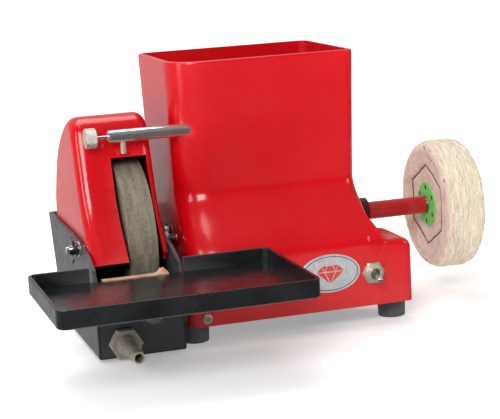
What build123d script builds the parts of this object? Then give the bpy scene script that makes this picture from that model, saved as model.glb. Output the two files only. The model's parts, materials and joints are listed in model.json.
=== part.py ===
"""Bench cabbing machine: grinding wheel in a water basin, buff, water tank and motor.

Machine coordinates, in millimetres: x = 0 at the tank's left wall at its rim, y = 0 at the
front face of the base, z = 0 at the bench. +X runs along the spindle to the buff, +Y to the
back and +Z up. Every piece is moved to the row frame when it is written: its origin is the
middle of the bottom of the whole machine's box.
"""
from build123d import *
from math import cos, radians, sin
import os

# ---------------------------------------------------------------- driving dimensions
# whole machine
TRAY_LEFT, TRAY_FRONT = -140.0, -138.0
SPINDLE_END = 302.0
BASIN_BACK = 187.0
TANK_RIM = 233.0
BASE_BOTTOM = 16.5

# housing
WALL = 4.0
TANK_RIGHT, TANK_FRONT, TANK_BACK = 162.8, 38.0, 165.0
TANK_TAPER = 3.0                 # each tank wall leans in by this much between rim and waist
WAIST, FLARE_END = 124.0, 69.0   # heights where the S-shaped flare starts and ends
BASE_BACK = 176.0
CORNER_R, BIG_CORNER_R = 10.0, 28.0
STEP_LEFT, STEP_TOP = -7.0, 62.0
FLARE_LEVELS = [FLARE_END + (WAIST - FLARE_END) * i / 8 for i in range(9)]
NOSE_SETBACK, NOSE_BACK_R = 0.4, 24.0
NOSE_RIGHT, NOSE_BACK, NOSE_TOP, NOSE_R, NOSE_EDGE_R = 193.0, 56.0, 72.0, 9.0, 5.0
TANK_FLOOR_TOP, TANK_FLOOR_T = 150.0, 4.0
PLATE_T, PLATE_GAP = 2.0, 0.3
RIM_EDGE_R = 1.6

# feet: centres in plan
FEET = ((2.5, 22.6), (181.0, 22.6), (12.0, 158.0), (148.0, 158.0))
FOOT_R, BOSS_R, BOSS_TOP = 12.5, 6.0, 46.0

# spindle axis
AXIS_Y, AXIS_Z = 92.0, 80.0
SHAFT_R, ARBOR_R, BUFF_SEAT_R = 7.5, 6.35, 5.5
ARBOR_LEFT = -70.0

# grinding wheel, 6 inch by 1 inch
WHEEL_R, WHEEL_LEFT, WHEEL_RIGHT = 74.0, -50.0, -25.0
BLOTTER_T, FLANGE_T, FLANGE_R = 0.5, 5.0, 22.0
BUSH_R = 16.0
WHEEL_NUT_T, WHEEL_NUT_AF = 9.0, 19.0

# motor
STATOR_R, STATOR_LEFT, STATOR_RIGHT = 50.0, 53.0, 103.0
ROTOR_R, STATOR_BORE_R = 27.75, 28.25
BELL_DEPTH, BELL_WALL = 28.0, 3.0
BEARING_R, BEARING_W, BEARING_INNER_R, BEARING_OUTER_IR = 17.5, 11.0, 10.2, 14.8
BALL_R, BALL_COUNT = 2.25, 8
TIE_R, TIE_CIRCLE = 2.0, 44.0
TIE_ANGLES = (45, 135, 225, 315)
BELL_LEFT_X, BELL_RIGHT_X = STATOR_LEFT - BELL_DEPTH, STATOR_RIGHT + BELL_DEPTH
CAPACITOR_R, CAPACITOR_L = 17.0, 60.0
CAPACITOR_X, CAPACITOR_Y, CAPACITOR_Z = 48.0, 151.0, 39.0

# basin
BASIN_LEFT, BASIN_RIGHT, BASIN_FRONT = -86.5, -12.7, -8.0
BASIN_BOTTOM, BASIN_WALL, BASIN_FLOOR_TOP = 2.2, 3.0, 4.6
BASIN_FRONT_TOP = 66.0
SHAFT_NOTCH_R = 11.0
BASIN_FIXINGS = ((48.0, 42.0), (138.0, 42.0))   # y and z of the two fixings to the housing

# drain
DRAIN_X, DRAIN_Z = -65.0, 15.0
DRAIN_AF, DRAIN_THREAD_R, DRAIN_BORE_R = 24.0, 7.0, 3.5
DRAIN_TIP_Y, DRAIN_TIP_R = -60.0, 5.2

# tray
TRAY_RIGHT, TRAY_BACK, TRAY_TOP, TRAY_BOTTOM = 62.5, -6.0, 80.0, 65.0
TRAY_WALL, TRAY_R = 3.0, 8.0
TRAY_GAP_LEFT, TRAY_GAP_RIGHT, TRAY_NOTCH = -90.0, -12.0, -9.5
STRIP_LEFT, STRIP_RIGHT, STRIP_FRONT, STRIP_BACK = -80.0, -25.0, -13.0, -5.5
STRIP_T, STRIP_CURL = 1.3, 6.5
BRACKET_X, BRACKET_W, BRACKET_T = -40.0, 20.0, 3.0
TRAY_BOLT_Z = 36.0

# hood
HOOD_LEFT, HOOD_RIGHT, HOOD_WALL, HOOD_EDGE_R = -82.8, -16.2, 2.5, 10.0
HOOD_SKIRT, SLOT_LEFT, SLOT_RIGHT, SLOT_TOP = 71.5, -53.0, -22.0, 157.0
HOOD_LEG_END, HOOD_LEG_R, HOOD_LEG_BACK = 80.5, 2.6, 30.0   # narrow right leg, round corners

# hood clamps: a stud through each side, with a washer and a wing nut outside
STUD_Y, STUD_Z, STUD_R = 46.0, 85.0, 3.0
STUD_TIP = {-1: 11.0, 1: 10.2}   # how far each stud stands out from the basin, by side
CLAMP_WASHER_T, WING_HUB_T, WING_LEAN = 1.0, 6.5, 20.0

# drip valve
VALVE_Y, VALVE_Z, VALVE_R, VALVE_LEFT = 49.0, 176.0, 5.3, -55.0
VALVE_BORE_R, NEEDLE_R, NEEDLE_GLAND_R = 3.0, 1.25, 1.3
VALVE_BOSS_R, VALVE_BOSS_X, VALVE_POCKET_R = 9.0, 26.0, 7.5
NOZZLE_X, NOZZLE_R, NOZZLE_BOTTOM = -42.5, 2.25, 161.0
KNOB_R, KNOB_LEFT, KNOB_RIGHT = 8.5, -75.0, -65.0

# switch, badge and screws on the front
SWITCH_X, SWITCH_Z, BUSHING_R, SWITCH_NUT_AF = 156.4, 45.2, 6.0, 17.5
LEVER_DOWN = 13.0                # degrees below level at rest
BADGE_X, BADGE_Z, BADGE_W, BADGE_H, BADGE_T = 117.5, 49.0, 54.0, 33.0, 1.2
CASE_SCREW_X, CASE_SCREW_Z = 7.9, 23.4

# back of the base
BACK_SCREW_X = (56.0, 128.0)
GLAND_X, GLAND_Z, GLAND_R = 34.0, 42.0, 8.0

# guard tube and buff
TUBE_R, TUBE_IR, TUBE_END = 8.0, 7.0, 244.5
COLLAR_R, COLLAR_END, COLLAR_FLANGE_R = 12.5, 187.0, 20.0
TUBE_SCREW_ANGLES, TUBE_SCREW_CIRCLE = (90, 210, 330), 16.5
BUFF_R, BUFF_LEFT, BUFF_RIGHT, BUFF_HOLLOW = 60.0, 245.0, 282.0, 3.0
HUB_DISC_R, HUB_DISC_T = 21.0, 1.5

GRIP = 0.05                      # gap between pieces that fit into each other and stay still
ORIGIN = ((TRAY_LEFT + SPINDLE_END) / 2, (TRAY_FRONT + BASIN_BACK) / 2, 0.0)


# ---------------------------------------------------------------- shape helpers
def box(x0, x1, y0, y1, z0, z1):
    return Pos((x0 + x1) / 2, (y0 + y1) / 2, (z0 + z1) / 2) * Box(x1 - x0, y1 - y0, z1 - z0)


def rod_x(r, x0, x1, y=AXIS_Y, z=AXIS_Z):
    return Pos((x0 + x1) / 2, y, z) * Rot(0, 90, 0) * Cylinder(r, x1 - x0)


def rod_y(r, y0, y1, x, z):
    return Pos(x, (y0 + y1) / 2, z) * Rot(90, 0, 0) * Cylinder(r, y1 - y0)


def rod_z(r, z0, z1, x, y):
    return Pos(x, y, (z0 + z1) / 2) * Cylinder(r, z1 - z0)


def ring_x(r_out, r_in, x0, x1, y=AXIS_Y, z=AXIS_Z):
    return rod_x(r_out, x0, x1, y, z) - rod_x(r_in, x0 - 1, x1 + 1, y, z)


def hexagon(across_flats):
    """Hexagon with two of its corners level with its centre."""
    return RegularPolygon(across_flats / 2, 6, major_radius=False)


def hex_x(across_flats, x0, x1, y=AXIS_Y, z=AXIS_Z):
    return Pos(x0, y, z) * Rot(0, 90, 0) * extrude(hexagon(across_flats), x1 - x0)


def hex_y(across_flats, y0, y1, x, z):
    return Pos(x, y1, z) * Rot(90, 0, 0) * extrude(hexagon(across_flats), y1 - y0)


def around_axis(angle, radius):
    """Point of a circle about the spindle axis, as y and z."""
    return AXIS_Y + radius * cos(radians(angle)), AXIS_Z + radius * sin(radians(angle))


def slab_x(outline, x0, x1):
    """Extrude a face drawn in y and z from x0 to x1."""
    return Pos(x0, 0, 0) * extrude(Plane.YZ * outline, x1 - x0)


def export(name, *shapes):
    group = Compound(children=[Pos(*(-v for v in ORIGIN)) * solid
                               for shape in shapes for solid in shape.solids()])
    export_step(group, f"parts/{name}.step")


# ---------------------------------------------------------------- housing
def flare(z):
    """0 at and above the waist, 1 at and below the flare's end, S-shaped between."""
    t = min(max((WAIST - z) / (WAIST - FLARE_END), 0.0), 1.0)
    return t * t * (3 - 2 * t)


def flare_front(z, inset):
    """Front of the housing at height z."""
    lean = TANK_TAPER * (TANK_RIM - max(z, WAIST)) / (TANK_RIM - WAIST)
    return (TANK_FRONT + lean) * (1 - flare(z)) + inset


def plan(z, inset=0.0):
    """Rounded outline of the housing at height z, with one large corner at the front left."""
    lean = TANK_TAPER * (TANK_RIM - max(z, WAIST)) / (TANK_RIM - WAIST)
    s = flare(z)
    x0 = lean * (1 - s) + inset
    x1 = TANK_RIGHT - lean + (TANK_TAPER - 0.5) * s - inset
    y0 = flare_front(z, inset)
    y1 = (TANK_BACK - lean) * (1 - s) + BASE_BACK * s - inset
    r, big = CORNER_R - inset, BIG_CORNER_R - inset
    outline = [
        Line((x0 + big, y0), (x1 - r, y0)), CenterArc((x1 - r, y0 + r), r, -90, 90),
        Line((x1, y0 + r), (x1, y1 - r)), CenterArc((x1 - r, y1 - r), r, 0, 90),
        Line((x1 - r, y1), (x0 + r, y1)), CenterArc((x0 + r, y1 - r), r, 90, 90),
        Line((x0, y1 - r), (x0, y0 + big)), CenterArc((x0 + big, y0 + big), big, 180, 90)]
    return Pos(0, 0, z) * make_face(outline)


def nose(inset):
    """Low nose at the right front, blended into the flare by a hollow curve."""
    right, top = NOSE_RIGHT - inset, NOSE_TOP - inset
    r, inner_x, high = NOSE_R - inset, 120, 118 - inset
    hollow = Spline((153 - inset, high), (155 - inset, 103 - inset), (160 - inset, 90 - inset),
                    (166 - inset, 78 - inset), (174 - inset, top), tangents=((0, -1), (1, 0)))
    outline = [
        hollow, Line(hollow @ 1, (right - r, top)), CenterArc((right - r, top - r), r, 0, 90),
        Line((right, top - r), (right, BASE_BOTTOM)), Line((right, BASE_BOTTOM), (inner_x, BASE_BOTTOM)),
        Line((inner_x, BASE_BOTTOM), (inner_x, high)), Line((inner_x, high), hollow @ 0)]
    side = Pos(0, NOSE_BACK - inset, 0) * extrude(Plane.XZ * make_face(outline), NOSE_BACK - 2 * inset)
    front_edges = [e for e in side.edges() if e.center().Y < inset + 0.1 and e.center().X > 150]
    side = fillet([e for e in front_edges if e.center().Z > BASE_BOTTOM + 1], NOSE_EDGE_R - inset / 2)
    back_r = NOSE_BACK_R - inset
    corner_x, corner_y = right - back_r, NOSE_BACK - inset - back_r
    square = box(corner_x, right + 1, corner_y, NOSE_BACK + 1, 0, 130)
    side -= square - rod_z(back_r, 0, 130, corner_x, corner_y)
    behind_flare = [Pos(0, 0, z) * Pos(160, (flare_front(z, inset) + NOSE_SETBACK + 80) / 2)
                    * Rectangle(90, 80 - NOSE_SETBACK - flare_front(z, inset)) for z in FLARE_LEVELS]
    limit = loft(behind_flare) + box(115, 205, inset, 80, 0, FLARE_END)
    return side & limit


def housing_body(inset, bottom, top):
    tank = loft([plan(WAIST, inset), plan(top, inset)], ruled=True)
    skirt = loft([plan(z, inset) for z in FLARE_LEVELS])
    base = extrude(plan(FLARE_END, inset), -(FLARE_END - bottom))
    step = box(STEP_LEFT + inset, 60, inset, BASE_BACK - inset, bottom, STEP_TOP - inset)
    step = fillet(step.edges().filter_by(Axis.Z).group_by(Axis.X)[0], CORNER_R - inset)
    return tank + skirt + base + step + nose(inset)


def foot_boss(x, y, outer):
    """Hollow screw post over a foot, tied to the walls by two ribs."""
    post = rod_z(BOSS_R, BASE_BOTTOM + PLATE_T, BOSS_TOP, x, y)
    toward_x = 1 if x > 100 else -1
    toward_y = -1 if y < 60 else 1
    rib_x = box(*sorted((x, x + toward_x * 30)), y - 1.5, y + 1.5, BASE_BOTTOM + PLATE_T, BOSS_TOP)
    rib_y = box(x - 1.5, x + 1.5, *sorted((y, y + toward_y * 40)), BASE_BOTTOM + PLATE_T, BOSS_TOP)
    return (post + rib_x + rib_y) & outer


def make_housing(inner):
    outer = housing_body(0, BASE_BOTTOM, TANK_RIM)
    rim = outer.edges().filter_by_position(Axis.Z, TANK_RIM - 0.01, TANK_RIM + 0.01)
    shell = fillet(rim, RIM_EDGE_R) - inner
    shell += rod_x(VALVE_BOSS_R, 0, VALVE_BOSS_X, VALVE_Y, VALVE_Z) & outer
    for x, y in FEET:
        shell += foot_boss(x, y, outer)
        shell -= rod_z(1.6, BASE_BOTTOM, BOSS_TOP - 4, x, y)
    shell -= rod_x(VALVE_R + GRIP, -5, VALVE_BOSS_X + 1, VALVE_Y, VALVE_Z)
    shell -= rod_x(VALVE_POCKET_R, VALVE_BOSS_X, VALVE_BOSS_X + 14, VALVE_Y, VALVE_Z)
    shell -= rod_x(9.0, -10, 20) + rod_x(9.0, 140, 170)
    shell -= rod_y(BUSHING_R + GRIP, -1, WALL + 2, SWITCH_X, SWITCH_Z)
    shell -= rod_y(2.1, -1, WALL + 1, CASE_SCREW_X, CASE_SCREW_Z)
    for x in BACK_SCREW_X:
        shell -= rod_y(2.1, BASE_BACK - WALL - 1, BASE_BACK + 1, x, CASE_SCREW_Z)
    shell -= rod_y(GLAND_R + GRIP, BASE_BACK - WALL - 1, BASE_BACK + 1, GLAND_X, GLAND_Z)
    for y, z in BASIN_FIXINGS:
        shell -= rod_x(2.6, STEP_LEFT - 1, STEP_LEFT + WALL + 1, y, z)
    for angle in TUBE_SCREW_ANGLES:
        y, z = around_axis(angle, TUBE_SCREW_CIRCLE)
        shell -= rod_x(1.6, 150, 165, y, z)
    return shell


def plate_outline(inset):
    """Plan of the housing at its foot, with the step on the left and the nose on the right."""
    body = Pos(0, 0, -FLARE_END) * plan(FLARE_END, inset)
    depth, length = BASE_BACK - 2 * inset, 60 - STEP_LEFT - inset
    step = Pos(STEP_LEFT + inset + length / 2, BASE_BACK / 2)
    step *= RectangleRounded(length, depth, CORNER_R - inset)
    width, reach = NOSE_BACK - 2 * inset, NOSE_RIGHT - inset - 120
    front = Pos(120 + reach / 2, NOSE_BACK / 2) * Rectangle(reach, width)
    right_corners = front.vertices().group_by(Axis.X)[-1].sort_by(Axis.Y)
    front = fillet(right_corners[0], NOSE_EDGE_R)
    front = fillet(front.vertices().group_by(Axis.Y)[-1].sort_by(Axis.X)[-1], NOSE_BACK_R - inset)
    return body + step + front


def make_bottom_plate():
    """Closing plate with cooling slots and three turned-up ears for the case screws."""
    lid = Pos(0, 0, BASE_BOTTOM) * extrude(plate_outline(WALL + PLATE_GAP), PLATE_T)
    top = BASE_BOTTOM + PLATE_T
    for i in range(6):
        lid -= box(36 + 16 * i, 41 + 16 * i, 112, 150, 0, 30)
    ear_y = WALL + PLATE_GAP
    ears = [box(CASE_SCREW_X - 3.2, CASE_SCREW_X + 9, ear_y, ear_y + 3, top, top + 12)]
    for x in BACK_SCREW_X:
        ears.append(box(x - 5, x + 5, BASE_BACK - ear_y - 3, BASE_BACK - ear_y, top, top + 12))
    for ear in ears:
        lid += ear
    lid -= rod_y(1.6, WALL, WALL + 5, CASE_SCREW_X, CASE_SCREW_Z)
    for x in BACK_SCREW_X:
        lid -= rod_y(1.6, BASE_BACK - WALL - 5, BASE_BACK - WALL, x, CASE_SCREW_Z)
    for x, y in FEET:
        lid -= rod_z(2.2, 0, 30, x, y)
    for x, y in cradle_holes():
        lid -= rod_z(2.1, 0, 30, x, y)
    return lid


# ---------------------------------------------------------------- feet and case screws
def make_foot(x, y):
    body = Pos(x, y, 0) * extrude(Circle(FOOT_R - 0.8), BASE_BOTTOM, taper=-2.5)
    body -= rod_z(4.6, -1, 6, x, y) + rod_z(2.2, 0, 20, x, y)
    return fillet(body.edges().group_by(Axis.Z)[0].sort_by(SortBy.LENGTH)[-1], 1.0)


def make_foot_screw(x, y):
    return rod_z(4.2, 3.5, 6, x, y) + rod_z(1.55, 5, 38, x, y)


def pan_screw(length, head_r=4.3, head_h=2.6, shank_r=1.55):
    """Cross-recessed pan head screw along +Y, its head's underside at y = 0."""
    head = Pos(0, -head_h, 0) * Rot(-90, 0, 0) * extrude(Circle(head_r), head_h)
    head = fillet(head.edges().group_by(Axis.Y)[0], 1.6)
    recess = Box(4.6, 3.0, 1.0) + Box(1.0, 3.0, 4.6)
    return head - Pos(0, -head_h, 0) * recess + rod_y(shank_r, 0, length, 0, 0)


# ---------------------------------------------------------------- motor
def cradle_holes():
    return [(x, AXIS_Y + side * 38) for x in (60.0, 96.0) for side in (-1, 1)]


def make_stator():
    stack = ring_x(STATOR_R, STATOR_BORE_R, STATOR_LEFT, STATOR_RIGHT)
    for i in range(24):
        y, z = around_axis(15 * i + 7.5, 32.0)
        slot = Rot(15 * i + 7.5, 0, 0) * Box(STATOR_RIGHT - STATOR_LEFT + 2, 8.5, 2.6)
        stack -= Pos((STATOR_LEFT + STATOR_RIGHT) / 2, y, z) * slot
    for angle in TIE_ANGLES:
        y, z = around_axis(angle, TIE_CIRCLE)
        stack -= rod_x(TIE_R + 0.2, STATOR_LEFT - 1, STATOR_RIGHT + 1, y, z)
    return stack


def make_windings():
    """End turns on both sides of the stack."""
    coils = []
    for x in (STATOR_LEFT - 6.5, STATOR_RIGHT + 6.5):
        profile = Pos(35.5, 0) * RectangleRounded(10.0, 12.0, 3.5)
        coils.append(Pos(x, AXIS_Y, AXIS_Z) * Rot(0, 90, 0) * revolve(Plane.XZ * profile, Axis.Z))
    return coils


def make_bell(face_x, side):
    """Bearing carrier; side is -1 on the left of the motor and 1 on its right."""
    rim_x = face_x - side * BELL_DEPTH
    ends = sorted((face_x, rim_x))
    bell = rod_x(STATOR_R, *ends)
    bell -= rod_x(STATOR_R - BELL_WALL, *sorted((rim_x - side, face_x - side * BELL_WALL)))
    bell += rod_x(BEARING_R + 4, *sorted((face_x - side * 14.0, face_x + side * 1.5)))
    bell -= rod_x(BEARING_R + GRIP, *sorted((face_x - side * 15.0, face_x - side * 1.5)))
    bell -= rod_x(11.0, ends[0] - 5, ends[1] + 5)
    for i in range(8):
        y, z = around_axis(45 * i, 33.0)
        bell -= rod_x(6.0, *sorted((face_x - side * 10, face_x + side * 5)), y, z)
    for angle in TIE_ANGLES:
        y, z = around_axis(angle, TIE_CIRCLE)
        bell -= rod_x(TIE_R + 0.2, *sorted((face_x - side * 10, face_x + side * 5)), y, z)
    return bell


def make_tie_bolt(angle):
    y, z = around_axis(angle, TIE_CIRCLE)
    shank = rod_x(TIE_R, BELL_LEFT_X - 6, BELL_RIGHT_X, y, z)
    head = hex_x(7.0, BELL_RIGHT_X, BELL_RIGHT_X + 3, y, z)
    return shank + head + hex_x(7.0, BELL_LEFT_X - 4, BELL_LEFT_X, y, z)


def bearing_spans():
    return [(BELL_LEFT_X + 1.5, BELL_LEFT_X + 1.5 + BEARING_W),
            (BELL_RIGHT_X - 1.5 - BEARING_W, BELL_RIGHT_X - 1.5)]


def make_cradle():
    """Folded bracket with two saddles under the stator."""
    floor = BASE_BOTTOM + PLATE_T
    cradle = box(52, 104, AXIS_Y - 45, AXIS_Y + 45, floor, floor + 2)
    for x in (64.0, 86.0):
        cradle += box(x, x + 6, AXIS_Y - 34, AXIS_Y + 34, floor, AXIS_Z - 30)
    cradle -= rod_x(STATOR_R + GRIP, 40, 120)
    for x, y in cradle_holes():
        cradle -= rod_z(2.1, 0, 30, x, y)
    return cradle


def make_fan():
    left, right = 134.5, 145.5
    fan = ring_x(12.0, SHAFT_R, left, right)
    fan += ring_x(38.0, SHAFT_R, right - 2, right)
    for i in range(9):
        blade = Pos((left + right) / 2, 24.5, 0) * Box(right - left, 27, 1.8)
        fan += Pos(0, AXIS_Y, AXIS_Z) * Rot(40 * i, 0, 0) * blade
    return fan - rod_x(SHAFT_R, left - 1, right + 1)


def make_shaft():
    shaft = rod_x(ARBOR_R, ARBOR_LEFT, WHEEL_RIGHT + BLOTTER_T + FLANGE_T)
    shaft += rod_x(SHAFT_R, WHEEL_RIGHT + BLOTTER_T + FLANGE_T, 150.0)
    shaft += rod_x(ARBOR_R, 150.0, TUBE_END + 1)
    shaft += rod_x(BUFF_SEAT_R, TUBE_END + 1, SPINDLE_END)
    ends = shaft.edges().filter_by(GeomType.CIRCLE).sort_by(Axis.X)
    return chamfer([ends[0], ends[-1]], 0.8)


def make_capacitor_clip():
    floor = BASE_BOTTOM + PLATE_T
    x0 = CAPACITOR_X + 24
    clip = ring_x(CAPACITOR_R + 1.2, CAPACITOR_R + GRIP, x0, x0 + 12, CAPACITOR_Y, CAPACITOR_Z)
    foot = box(x0, x0 + 12, CAPACITOR_Y - 13, CAPACITOR_Y + 6, floor, floor + 3)
    return clip + (foot - rod_x(CAPACITOR_R + GRIP, x0 - 1, x0 + 13, CAPACITOR_Y, CAPACITOR_Z))


# ---------------------------------------------------------------- basin, drain and tray
def basin_outline(inset, top_extra=0.0):
    """Side view of the basin in y and z; the top edge rises towards the back."""
    y0, z0 = BASIN_FRONT + inset, (BASIN_FLOOR_TOP if inset else BASIN_BOTTOM)
    slope = (BASIN_BACK - 150.0) / (93.0 - BASIN_BOTTOM)
    back_low = 150.0 + slope * (z0 - BASIN_BOTTOM) - inset
    back_high = BASIN_BACK + slope * top_extra - inset
    points = [(y0, z0), (back_low, z0), (back_high, 93.0 + top_extra), (80, 92 + top_extra),
              (50, 90 + top_extra), (20, 85 + top_extra), (BASIN_FRONT + 5 + inset, 76 + top_extra),
              (y0, BASIN_FRONT_TOP + top_extra)]
    return make_face(Polyline(*points, close=True))


def make_basin():
    tub = slab_x(basin_outline(0), BASIN_LEFT, BASIN_RIGHT)
    lower = tub.edges().filter_by(Axis.X).group_by(Axis.Z)[0]
    tub = fillet(lower, 1.5)
    uprights = [e for e in tub.edges().filter_by(Axis.Z) if e.center().Y < 0]
    tub = fillet(uprights, 2.0)
    tub -= slab_x(basin_outline(BASIN_WALL, 20), BASIN_LEFT + BASIN_WALL, BASIN_RIGHT - BASIN_WALL)
    tub -= box(BASIN_LEFT + BASIN_WALL, BASIN_RIGHT - BASIN_WALL, -20, 0, BASIN_FRONT_TOP, 120)
    notch = rod_x(SHAFT_NOTCH_R, BASIN_RIGHT - 6, BASIN_RIGHT + 2)
    notch += box(BASIN_RIGHT - 6, BASIN_RIGHT + 2, AXIS_Y - SHAFT_NOTCH_R, AXIS_Y + SHAFT_NOTCH_R,
                 AXIS_Z, 110)
    tub -= notch
    tub -= rod_x(STUD_R + GRIP, -100, 0, STUD_Y, STUD_Z)
    tub -= rod_y(DRAIN_THREAD_R + GRIP, -12, 0, DRAIN_X, DRAIN_Z)
    tub -= rod_y(3.05, -12, 0, BRACKET_X, TRAY_BOLT_Z)
    for y, z in BASIN_FIXINGS:
        tub -= rod_x(2.55, BASIN_RIGHT - 5, BASIN_RIGHT + 2, y, z)
    return tub


def make_drain_fitting():
    """Hose barb with a hexagon against the basin and a straight land at its tip."""
    hex_front = BASIN_FRONT - 1.5 - 8.0
    body = hex_y(DRAIN_AF, hex_front, BASIN_FRONT - 1.5, DRAIN_X, DRAIN_Z)
    body += rod_y(DRAIN_THREAD_R, hex_front, 4.0, DRAIN_X, DRAIN_Z)
    root_r, land = 8.0, 10.0
    length = hex_front - (DRAIN_TIP_Y + land)
    cone = Pos(DRAIN_X, hex_front - length / 2, DRAIN_Z) * Rot(90, 0, 0) * Cone(root_r, DRAIN_TIP_R, length)
    body += cone + rod_y(DRAIN_TIP_R, DRAIN_TIP_Y, DRAIN_TIP_Y + land, DRAIN_X, DRAIN_Z)
    return body - rod_y(DRAIN_BORE_R, DRAIN_TIP_Y - 1, 6, DRAIN_X, DRAIN_Z)


def washer_y(r_out, r_in, y0, y1, x, z):
    return rod_y(r_out, y0, y1, x, z) - rod_y(r_in, y0 - 1, y1 + 1, x, z)


def make_tray():
    centre = ((TRAY_LEFT + TRAY_RIGHT) / 2, (TRAY_FRONT + TRAY_BACK) / 2)
    size = (TRAY_RIGHT - TRAY_LEFT, TRAY_BACK - TRAY_FRONT)
    blank = RectangleRounded(size[0], size[1], TRAY_R)
    pan_shape = RectangleRounded(size[0] - 2 * TRAY_WALL, size[1] - 2 * TRAY_WALL, TRAY_R - TRAY_WALL)
    tray = Pos(*centre, TRAY_BOTTOM) * extrude(blank, TRAY_TOP - TRAY_BOTTOM)
    tray = fillet(tray.edges().group_by(Axis.Z)[0], 2.0)
    tray -= Pos(*centre, TRAY_BOTTOM + TRAY_WALL) * extrude(pan_shape, TRAY_TOP)
    tray = fillet(tray.edges().group_by(Axis.Z)[-1], 0.8)
    tray -= box(TRAY_GAP_LEFT, TRAY_GAP_RIGHT, TRAY_BACK - 8, TRAY_BACK + 2,
                TRAY_BOTTOM + TRAY_WALL, TRAY_TOP + 1)
    return tray - box(TRAY_GAP_LEFT, TRAY_GAP_RIGHT, TRAY_NOTCH, TRAY_BACK + 2,
                      TRAY_BOTTOM - 1, TRAY_TOP + 1)


def make_splash_strip():
    """Rubber strip from the tray's floor to the basin's front wall, its right end turned up."""
    floor = TRAY_BOTTOM + TRAY_WALL
    strip = box(STRIP_LEFT, STRIP_RIGHT, STRIP_FRONT, STRIP_BACK, floor, floor + STRIP_T)
    return strip + box(STRIP_RIGHT - 10, STRIP_RIGHT, STRIP_BACK - 3, STRIP_BACK, floor, floor + STRIP_CURL)


def make_tray_bracket():
    x0, x1 = BRACKET_X - BRACKET_W / 2, BRACKET_X + BRACKET_W / 2
    leg = box(x0, x1, BASIN_FRONT - BRACKET_T, BASIN_FRONT, 27, TRAY_BOTTOM)
    arm = box(x0, x1, -100, BASIN_FRONT, TRAY_BOTTOM - BRACKET_T, TRAY_BOTTOM)
    return leg + arm - rod_y(3.05, -20, 0, BRACKET_X, TRAY_BOLT_Z)


def make_tray_bolt():
    seat = BASIN_FRONT - BRACKET_T
    head = rod_y(8.0, seat - 3.5, seat, BRACKET_X, TRAY_BOLT_Z)
    head = fillet(head.edges().group_by(Axis.Y)[0], 2.5)
    return head + rod_y(3.0, seat, 2, BRACKET_X, TRAY_BOLT_Z)


# ---------------------------------------------------------------- hood and its clamps
def inset_curve(curve, distance, count=7):
    """Curve beside another one, on the right of its direction."""
    steps = [i / (count - 1) for i in range(count)]
    return Spline(*[(curve @ t) + Vector((curve % t).Y, -(curve % t).X) * distance for t in steps],
                  tangents=(curve % 0, curve % 1))


def hood_outline(inset=0.0):
    """Side view of the hood: steep hollow front, small crown, long round back."""
    front = Spline((8, 77), (25.5, 97), (41, 119.5), (53, 153), (60, 174),
                   tangents=((0.62, 0.78), (0.3, 1)))
    crown = Spline(front @ 1, (68, 187), (82, 191), tangents=(front % 1, (1, -0.08)))
    back = Spline(crown @ 1, (110, 182), (134, 166.5), (151, 149), (166, 123), (172, 95),
                  tangents=(crown % 1, (0, -1)))
    if not inset:
        foot = Polyline(back @ 1, (172, HOOD_SKIRT), (20, HOOD_SKIRT), front @ 0)
        return make_face([front, crown, back, foot])
    front, crown, back = [inset_curve(curve, inset) for curve in (front, crown, back)]
    start, end = front @ 0, back @ 1
    low = HOOD_SKIRT - 5
    return make_face([front, crown, back, Polyline(end, (end.X, low), (start.X, low), start)])


def rounded_hood(inset):
    body = slab_x(hood_outline(inset), HOOD_LEFT + inset, HOOD_RIGHT - inset)
    edges = [e for e in body.faces().filter_by(Axis.X).edges() if e.center().Z > HOOD_SKIRT + 19]
    return fillet(edges, HOOD_EDGE_R - inset)


def make_hood():
    shell = rounded_hood(0) - rounded_hood(HOOD_WALL)
    shell -= box(SLOT_LEFT, SLOT_RIGHT, -20, 64, HOOD_SKIRT - 1, SLOT_TOP)
    notch = rod_x(SHAFT_NOTCH_R, HOOD_RIGHT - 6, HOOD_RIGHT + 2)
    notch += box(HOOD_RIGHT - 6, HOOD_RIGHT + 2, AXIS_Y - SHAFT_NOTCH_R, AXIS_Y + SHAFT_NOTCH_R,
                 HOOD_SKIRT - 1, AXIS_Z)
    shell -= notch
    leg_cut = box(SLOT_RIGHT - 1, HOOD_RIGHT + 1, 0, HOOD_LEG_BACK, HOOD_SKIRT - 1, HOOD_LEG_END)
    for edge_x, way in ((SLOT_RIGHT, 1), (HOOD_RIGHT, -1)):
        round_x, round_z = edge_x + way * HOOD_LEG_R, HOOD_LEG_END + HOOD_LEG_R
        corner = box(*sorted((edge_x, round_x)), 0, HOOD_LEG_BACK, HOOD_LEG_END, round_z)
        leg_cut += corner - rod_y(HOOD_LEG_R, -1, HOOD_LEG_BACK + 1, round_x, round_z)
    shell -= leg_cut
    slot_r = STUD_R + 0.6
    shell -= rod_x(slot_r, -100, 0, STUD_Y, STUD_Z)
    return shell - box(-100, 0, STUD_Y - slot_r, STUD_Y + slot_r, HOOD_SKIRT - 1, STUD_Z)


def make_stud(wall_x, hood_inner_x, side):
    """Stud through hood skirt and basin wall; side is -1 on the left and 1 on the right."""
    head_x = hood_inner_x - side * 0.3
    head = rod_x(5.5, *sorted((head_x, head_x - side * 2.2)), STUD_Y, STUD_Z)
    tip_x = wall_x + side * STUD_TIP[side]
    return head + rod_x(STUD_R, *sorted((head_x, tip_x)), STUD_Y, STUD_Z)


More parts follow.
